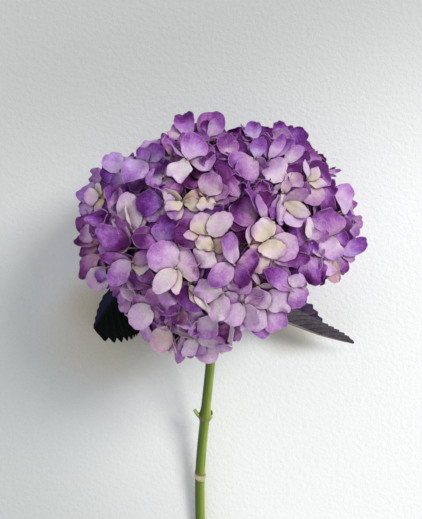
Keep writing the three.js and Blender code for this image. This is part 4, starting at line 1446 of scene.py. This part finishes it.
def stemMaterial():
    material, tree, skin = newMaterial("stemSkin", 0.38, 0.45)
    where = objectPlace(tree)
    side, along, cutFace = split(attribute(tree, "stemPlace"))
    streak = noise(together(times(side, 5.0), times(along, 14.0)), 1.0, 3.0, 0.6)
    guides = {
        "streak": streak,
        "turned": plus(side, swing(streak, 0.5)),
        "cloud": noise(where, 60.0, 3.0, 0.6),
        "speck": noise(where, 900.0, 2.0, 0.5),
    }
    colour = paint(*stemTones["green"])
    # The "turned" layers paint shade on one side of the stem and a highlight on the other
    for guide, start, end, amount, tone in stemTones["layers"]:
        colour = blend(ranged(guides[guide], start, end, 0.0, amount), colour, paint(*tone))
    slanted = timesPlus(side, stemTones["ringSlope"], along)
    patchy = ranged(guides["cloud"], 0.3, 0.5, 0.6, 1.0)
    for place, reach, tone, amount in stemTones["rings"]:
        away = maths("ABSOLUTE", maths("SUBTRACT", slanted, place))
        mask = times(ranged(away, reach, reach * 0.4, 0.0, amount), patchy)
        colour = blend(mask, colour, paint(*tone))
    colour = blend(cutFace, colour, paint(*stemTones["cut"]))
    feed(skin.inputs["Base Color"], colour)
    addBump(skin, streak, 0.3, 0.0005)
    showSurface(skin)
    return material


# Oblique side veins with a fine net between them, for both leaves
def leafVeinGroup():
    tree, given, out = newGroup(
        "leafVeins", [("Place", "Vector", None), ("Object", "Vector", None), ("Count", "Float", 11.0)],
        [("Vein", "Float"), ("Net", "Float"), ("Cloud", "Float")])
    across, along, _ = split(given["Place"])
    where = given["Object"]
    outFromRib = maths("ABSOLUTE", across)
    run = maths("SUBTRACT", along, times(outFromRib, leafForm["veinSlope"]))
    run = plus(run, swing(noise(where, 45.0), 0.02))
    saw = maths("FRACT", times(run, given["Count"]))
    away = maths("ABSOLUTE", maths("SUBTRACT", saw, 0.5))
    feed(out["Vein"], maths("MAXIMUM", ranged(away, 0.17, 0.02), ranged(outFromRib, 0.05, 0.0)))
    cells = node(tree, "TexVoronoi", feature="DISTANCE_TO_EDGE")
    cells.inputs["Scale"].default_value = 300.0
    feed(cells.inputs["Vector"], where)
    feed(out["Net"], ranged(cells.outputs["Distance"], 0.2, 0.0))
    feed(out["Cloud"], noise(where, 70.0, 3.0, 0.6))
    return tree


# Finish of each leaf, with the place across it from which its top takes the sheen tone, a painted reflection
leafSkins = {
    "leafLeft": {
        "slot": "leaf_dark", "node": "leaf_left", "specular": 0.03, "sheenAcross": (-0.1, -0.5),
        # Near-black tones: partly the leaf's own dark green, partly painted shade
        "top": (3, 9, 7), "topCloud": (6, 13, 11), "topVein": (12, 20, 17), "sheen": (38, 38, 64),
        "back": (16, 30, 24), "backCloud": (22, 36, 30), "backVein": (34, 50, 40), "rib": (12, 20, 15),
    },
    "leafRight": {
        "slot": "leaf_mauve", "node": "leaf_right", "specular": 0.25, "sheenAcross": (2.0, 3.0),
        "top": (52, 30, 64), "topCloud": (66, 42, 76), "topVein": (40, 24, 50), "sheen": (60, 44, 70),
        "back": (114, 104, 112), "backCloud": (86, 76, 88), "backVein": (48, 36, 50),
        "rib": (130, 120, 118),
    },
}


def leafMaterial(name, group):
    look = leafSkins[name]
    material, tree, skin = newMaterial(name + "Skin", 0.5, look["specular"])
    place = attribute(tree, "leafPlace")
    across, _, under = split(place)
    vein, net, cloud = placedGroup(tree, group, Place=place, Object=objectPlace(tree))

    def tone(which):
        return paint(*look[which])

    top = blend(ranged(cloud, 0.35, 0.7), tone("top"), tone("topCloud"))
    top = blend(times(vein, 0.35), top, tone("topVein"))
    # Painted reflection: the sheen tone over one part of the top
    top = blend(ranged(across, *look["sheenAcross"], 0.0, 0.85), top, tone("sheen"))
    back = blend(ranged(cloud, 0.3, 0.7), tone("back"), tone("backCloud"))
    back = blend(times(net, 0.45), back, tone("backVein"))
    back = blend(times(vein, 0.75), back, tone("backVein"))
    back = blend(ranged(maths("ABSOLUTE", across), 0.06, 0.02), back, tone("rib"))
    feed(skin.inputs["Base Color"], blend(under, top, back))
    addBump(skin, plus(vein, times(net, 0.4)), 0.5, 0.0005)
    showSurface(skin)
    return material


# The floor's tones in metres. Slopes, painted light falling off towards the top and the lower left corner:
# how x and y count, from, to, and both tones; painted shadow patches of the bloom and leaves: x, y, half
# sizes, tone and amount
floorLook = {
    "upper": (0.3, -1.0, -0.19, 0.04, (191, 193, 192), (243, 245, 244)),
    "corner": (-0.9, -0.4, 0.04, 0.24, (202, 205, 204)),
    "paintedShadows": [
        (-0.085, -0.075, 0.076, 0.054, (206, 201, 185), 0.85),
        (0.056, -0.074, 0.034, 0.022, (190, 184, 162), 0.65),
        (-0.102, -0.05, 0.03, 0.028, (206, 194, 174), 0.7),
    ],
    "grain": (300.0, 4.0, 0.66),
    "grainBump": (0.4, 0.0025),
}


def floorMaterial():
    material, tree, skin = newMaterial("palePlaster", 0.8, 0.25)
    place = objectPlace(tree)
    x, y, _ = split(place)

    def sloped(byX, byY, start, end):
        return ranged(plus(times(x, byX), times(y, byY)), start, end)

    *upper, darker, lighter = floorLook["upper"]
    *corner, cornerTone = floorLook["corner"]
    # Painted light falling off: darker towards the top and towards the lower left corner
    colour = blend(sloped(*upper), paint(*darker), paint(*lighter))
    colour = blend(sloped(*corner), colour, paint(*cornerTone))
    # Painted shadows of the bloom and the leaves on the floor
    for shadowX, shadowY, wide, deep, tone, amount in floorLook["paintedShadows"]:
        beside = distance(
            times(maths("SUBTRACT", x, shadowX), 1 / wide), times(maths("SUBTRACT", y, shadowY), 1 / deep))
        colour = blend(ranged(beside, 1.0, 0.2, 0.0, amount), colour, paint(*tone))
    feed(skin.inputs["Base Color"], colour)
    addBump(skin, noise(place, *floorLook["grain"]), *floorLook["grainBump"])
    showSurface(skin)
    return material


# Which step of its route each point of an extruded ring belongs to, and its turn round the ring
def ringSteps(points, count):
    level = np.clip(np.round(points[:, 2]).astype(int), 0, count - 1)
    return level, np.arctan2(points[:, 1], points[:, 0])


# The stem: one ring extruded again and again along its route
def makeStem():
    look = stemLook
    line = smoothRoute(look["route"], look["steps"])
    shares = np.linspace(0, 1, len(line))
    radii = mix(look["topRadius"], look["endRadius"], shares)
    for share, swell, width in look["nodes"]:
        radii = radii + swell * np.exp(-(((shares - share) / width) ** 2))
    piece = extrudedRing(look["sides"], look["steps"], inset=look["cutRim"])
    points = readPoints(piece)
    level, turn = ringSteps(points, len(line))
    alongs = unitRows(np.gradient(line, axis=0))
    u = unitRows(np.cross(alongs, [0, 0, 1.0]))
    v = np.cross(u, alongs)
    count, depth, twist = look["grooves"]
    radius = radii[level] * (1 + depth * np.sin(count * turn + level * twist))
    place = line[level] + (points[:, :1] * u[level] + points[:, 1:2] * v[level]) * radius[:, None]
    inner = np.hypot(points[:, 0], points[:, 1]) < look["cutWithin"]
    cutFace = np.where((level == look["steps"]) & inner, 1.0, 0.0)
    addVectors(piece, "stemPlace", np.stack([np.cos(turn), level / look["steps"], cutFace], axis=1))
    writePoints(piece, keptAbove(place, look["lowest"]) * mm)
    return piece, line


tubeGrain = 0.01    # how far the skin's pattern moves on with each point of a tube


# A short tapered tube from a ring extruded along a few points
def makeTube(route, radii, sides, cutTone=0.0):
    route = np.array(route, float)
    piece = extrudedRing(sides, len(route) - 1)
    points = readPoints(piece)
    level, turn = ringSteps(points, len(route))
    alongs = unitRows(np.gradient(route, axis=0))
    sideways = acrossNormal(alongs[0])[0]
    u = np.array([unit(sideways - a * np.dot(sideways, a)) for a in alongs])
    v = np.cross(alongs, u)
    ring = points[:, :1] * u[level] + points[:, 1:2] * v[level]
    place = route[level] + ring * np.array(radii)[level][:, None]
    last = np.where(level == len(route) - 1, cutTone, 0.0)
    addVectors(piece, "stemPlace", np.stack([np.sin(turn), level * tubeGrain, last], axis=1))
    writePoints(piece, place * mm)
    return piece


# The cut stalk and the bud at the joint in sight, and the rays that spread from the stem's top
def makeStemExtras(line):
    joint = line[round(stemLook["nodes"][1][0] * stemLook["steps"])]
    extras = []
    for look in (stubLook, jointBudLook):
        route = joint + np.array(look["route"])
        extras.append(makeTube(route, look["radii"], look["sides"], look["cutTone"]))
    foot = line[rayLook["foot"]]
    u, v = acrossNormal(axis)
    for k in range(rayLook["count"]):
        angle = 2 * math.pi * (k + rayLook["firstTurn"]) / rayLook["count"]
        side = (u * math.cos(angle) + v * math.sin(angle)) * rayLook["spreads"][k % 3]
        route = [foot + axis * up + side * out for up, out in rayLook["route"]]
        extras.append(makeTube(route, rayLook["radii"], rayLook["sides"]))
    return extras


# A leaf: a grid laid on the CAD's folded blade, with finer teeth and puffed up between its veins
def makeLeaf(name):
    look, form = leafLooks[name], leafForm
    bpy.ops.mesh.primitive_grid_add(
        x_subdivisions=form["columns"] * 2, y_subdivisions=look["teeth"] * form["rowsPerTooth"], size=2)
    piece = bpy.context.object
    points = readPoints(piece)
    across, t = points[:, 0].copy(), (points[:, 1] + 1) / 2
    rib = smoothRoute(look["route"], form["ribSteps"])

    def ribAt(share):
        step = np.clip(share, 0, 1) * form["ribSteps"]
        return np.stack([np.interp(step, np.arange(len(rib)), rib[:, k]) for k in range(3)], axis=-1)

    share = mix(look["from"], 1, t)
    step = form["ribStep"]
    along = unitRows(ribAt(np.minimum(share + step, 1)) - ribAt(share - step))
    first, second = form["swellPowers"]
    stretch, shift = form["swellReach"]
    swell = np.sin(np.pi * (t * stretch + shift) ** first) ** second
    peak = form["toothPeak"]
    phase = (t * look["teeth"]) % 1.0
    atTip = look["tipTeeth"] * (1 - t) + form["tipLeft"]
    fade = np.minimum(1, np.minimum(form["teethFadeIn"] * t, atTip))
    tooth = look["toothDepth"] * np.where(phase < peak, phase / peak, (1 - phase) / (1 - peak)) * fade
    c = np.abs(across)
    ridge = np.abs(np.sin(np.pi * form["veins"] * (t - form["veinSlope"] * c)))
    place = np.zeros((len(t), 3))
    narrowFrom, narrowOver = form["narrowing"]
    for half, (direction, width, bow) in enumerate(look["halves"]):
        mine = across < 0 if half else across >= 0
        flat = unitRows(np.array(direction) - along * (along @ np.array(direction))[:, None])
        face = np.cross(along, flat)
        narrow = 1 - look["narrowed"][half] * np.clip((t - narrowFrom) / narrowOver, 0, 1)
        notched = tooth * look["toothShare"][half] * c ** 3
        reach = np.maximum(width * swell ** look["blunt"][half] * narrow + notched, form["least"])
        lift = bow * 4 * c * (1 - c) * np.minimum(1, reach / (form["bowFrom"] * width)) ** 2
        puff = look["puff"] * np.minimum(1, reach / form["puffFrom"]) * (-1 if half else 1)
        lift = lift + puff * (ridge - 0.5) * np.sin(np.pi * np.clip(c, 0, 1))
        forward = along * (look["sweep"] * reach * c + notched * form["toothForward"])[:, None]
        spot = ribAt(share) + flat * (reach * c)[:, None] + forward + face * lift[:, None]
        place[mine] = spot[mine]
    addVectors(piece, "leafPlace", np.stack([across, t, np.zeros(len(t))], axis=1))
    writePoints(piece, keptAbove(place, form["lowest"]) * mm)
    thicken(piece, form["thickness"], "leafPlace", underFirst=True)
    steps = form["stalkSteps"]
    stalkRoute = ribAt(np.linspace(0.0, form["stalkEnd"], steps))
    stalk = makeTube(stalkRoute, np.linspace(*form["stalkRadii"], steps), form["stalkSides"])
    addVectors(stalk, "leafPlace", np.tile([0.0, 0.5, 1.0], (len(stalk.data.vertices), 1)))
    return joined([piece, stalk], name, form["smoothDeg"])


# Waves over the hub: how many to its radius along x and y with where they start, then z and x
hubWaves = {"x": (9, 1.3), "y": (8, 0.7), "z": (11, 5), "share": 0.5}


# The lumpy hub that the stalks run into
def makeMiddle():
    bpy.ops.mesh.primitive_ico_sphere_add(subdivisions=4, radius=1)
    piece = bpy.context.object
    points = readPoints(piece)
    x, y, z = points[:, 0], points[:, 1], points[:, 2]
    (countX, startX), (countY, startY), (countZ, slant) = hubWaves["x"], hubWaves["y"], hubWaves["z"]
    lumps = (hubWaves["share"] * np.sin(x * countX + startX) * np.sin(y * countY + startY)
             + hubWaves["share"] * np.sin(z * countZ + x * slant))
    reach = hubLook["radius"] * (1 + hubLook["lumps"] * lumps)
    writePoints(piece, (hub + points * reach[:, None]) * mm)
    return piece


def finishPiece(piece, material, slotName, *nodes):
    piece.data.materials.clear()
    piece.data.materials.append(material)
    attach(piece, "root")
    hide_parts(*nodes)


def makeCamera():
    data = bpy.data.cameras.new("camera")
    camera = bpy.data.objects.new("camera", data)
    bpy.context.collection.objects.link(camera)
    camera.location = eye * mm
    data.lens = cameraLook["lens"]
    data.sensor_width = cameraLook["sensor"]
    data.clip_start = cameraLook["nearest"]
    bpy.context.scene.camera = camera


# One soft lamp from the upper right, in metres and watts, in an evenly lit room
lampLook = {
    "place": (1.6, 1.08, 2.2),
    "aim": (0, 0, 0.05),
    "size": 0.96,
    "power": 54,
    "colour": (1.0, 0.985, 0.965),
}
roomLook = {"colour": (0.96, 0.98, 1.0, 1), "strength": 0.66, "floorSize": 4, "floorBelow": 0.0002}


def makeLamp():
    look = lampLook
    data = bpy.data.lights.new("window", "AREA")
    data.shape = "RECTANGLE"
    data.size, data.size_y = look["size"], look["size"]
    data.energy = look["power"]
    data.color = look["colour"]
    lamp = bpy.data.objects.new("window", data)
    bpy.context.collection.objects.link(lamp)
    lamp.location = look["place"]
    lamp.rotation_euler = (Vector(look["place"]) - Vector(look["aim"])).to_track_quat("Z", "Y").to_euler()


def makeStage():
    bpy.ops.mesh.primitive_plane_add(size=roomLook["floorSize"], location=(0, 0, -roomLook["floorBelow"]))
    floor = bpy.context.object
    floor.name = "wall"
    floor.data.materials.append(floorMaterial())
    world = bpy.data.worlds.new("room")
    world.use_nodes = True
    light = world.node_tree.nodes["Background"]
    light.inputs[0].default_value = roomLook["colour"]
    light.inputs[1].default_value = roomLook["strength"]
    bpy.context.scene.world = world
    makeLamp()
    bpy.context.scene.view_settings.view_transform = "Standard"


makeCamera()
makeStage()
nothingSelected()
patterns = {
    "sepal": makeSepalPattern(),
    "bud": makeBudPattern(),
    "stalk": extrudedRing(stalkLook["sides"], stalkLook["lengths"], 1 / stalkLook["lengths"]),
}
seen, around, under = allFlorets()
print("florets", len(seen), "seen,", len(around), "around and", len(under), "under them")
layFlorets(seen + around + under, patterns)
print("sepals laid over each other")

# Each skin: two tones, the scale of its clouds, its roughness and its bump in metres
stalkSkin = cloudedMaterial("stalkSkin", (186, 138, 150), (176, 180, 120), 60.0, 0.6)
budSkin = cloudedMaterial("budSkin", (176, 164, 128), (132, 122, 84), 500.0, 0.6, 0.0003)
middleSkin = cloudedMaterial("middleSkin", (70, 58, 56), (98, 112, 60), 220.0, 0.8, 0.002)
sepalSkin = sepalMaterial(sepalColourGroup())

stalks, buds = [], []
for name, florets in {"floretsSeen": seen, "floretsAround": around, "floretsUnder": under}.items():
    sepals = []
    for floret in florets:
        sepals += growSepals(floret, patterns)
        stalks.append(growStalk(floret, patterns))
        buds.append(growBud(floret, patterns))
    count = len(sepals)
    piece = thicken(joined(sepals, name), sepalLook["thickness"], "sepalPlace")
    bpy.ops.object.shade_smooth_by_angle(angle=math.radians(sepalLook["smoothDeg"]))
    finishPiece(piece, sepalSkin, "sepals", "flower_head")
    print(name, count, "sepals", len(piece.data.polygons), "faces")
finishPiece(joined(stalks, "stalks"), stalkSkin, "sepals", "flower_head")
finishPiece(joined(buds, "buds"), budSkin, "sepals", "flower_head")
finishPiece(joined([makeMiddle()], "middle"), middleSkin, "sepals", "flower_head")
for pattern in patterns.values():
    bpy.data.objects.remove(pattern)

stem, stemLine = makeStem()
stemPiece = joined([stem] + makeStemExtras(stemLine), "stemWhole", stemLook["smoothDeg"])
finishPiece(stemPiece, stemMaterial(), "stem", "stem")
print("stem made")

veins = leafVeinGroup()
for name, look in leafSkins.items():
    finishPiece(makeLeaf(name), leafMaterial(name, veins), look["slot"], look["node"])
print("leaves made")
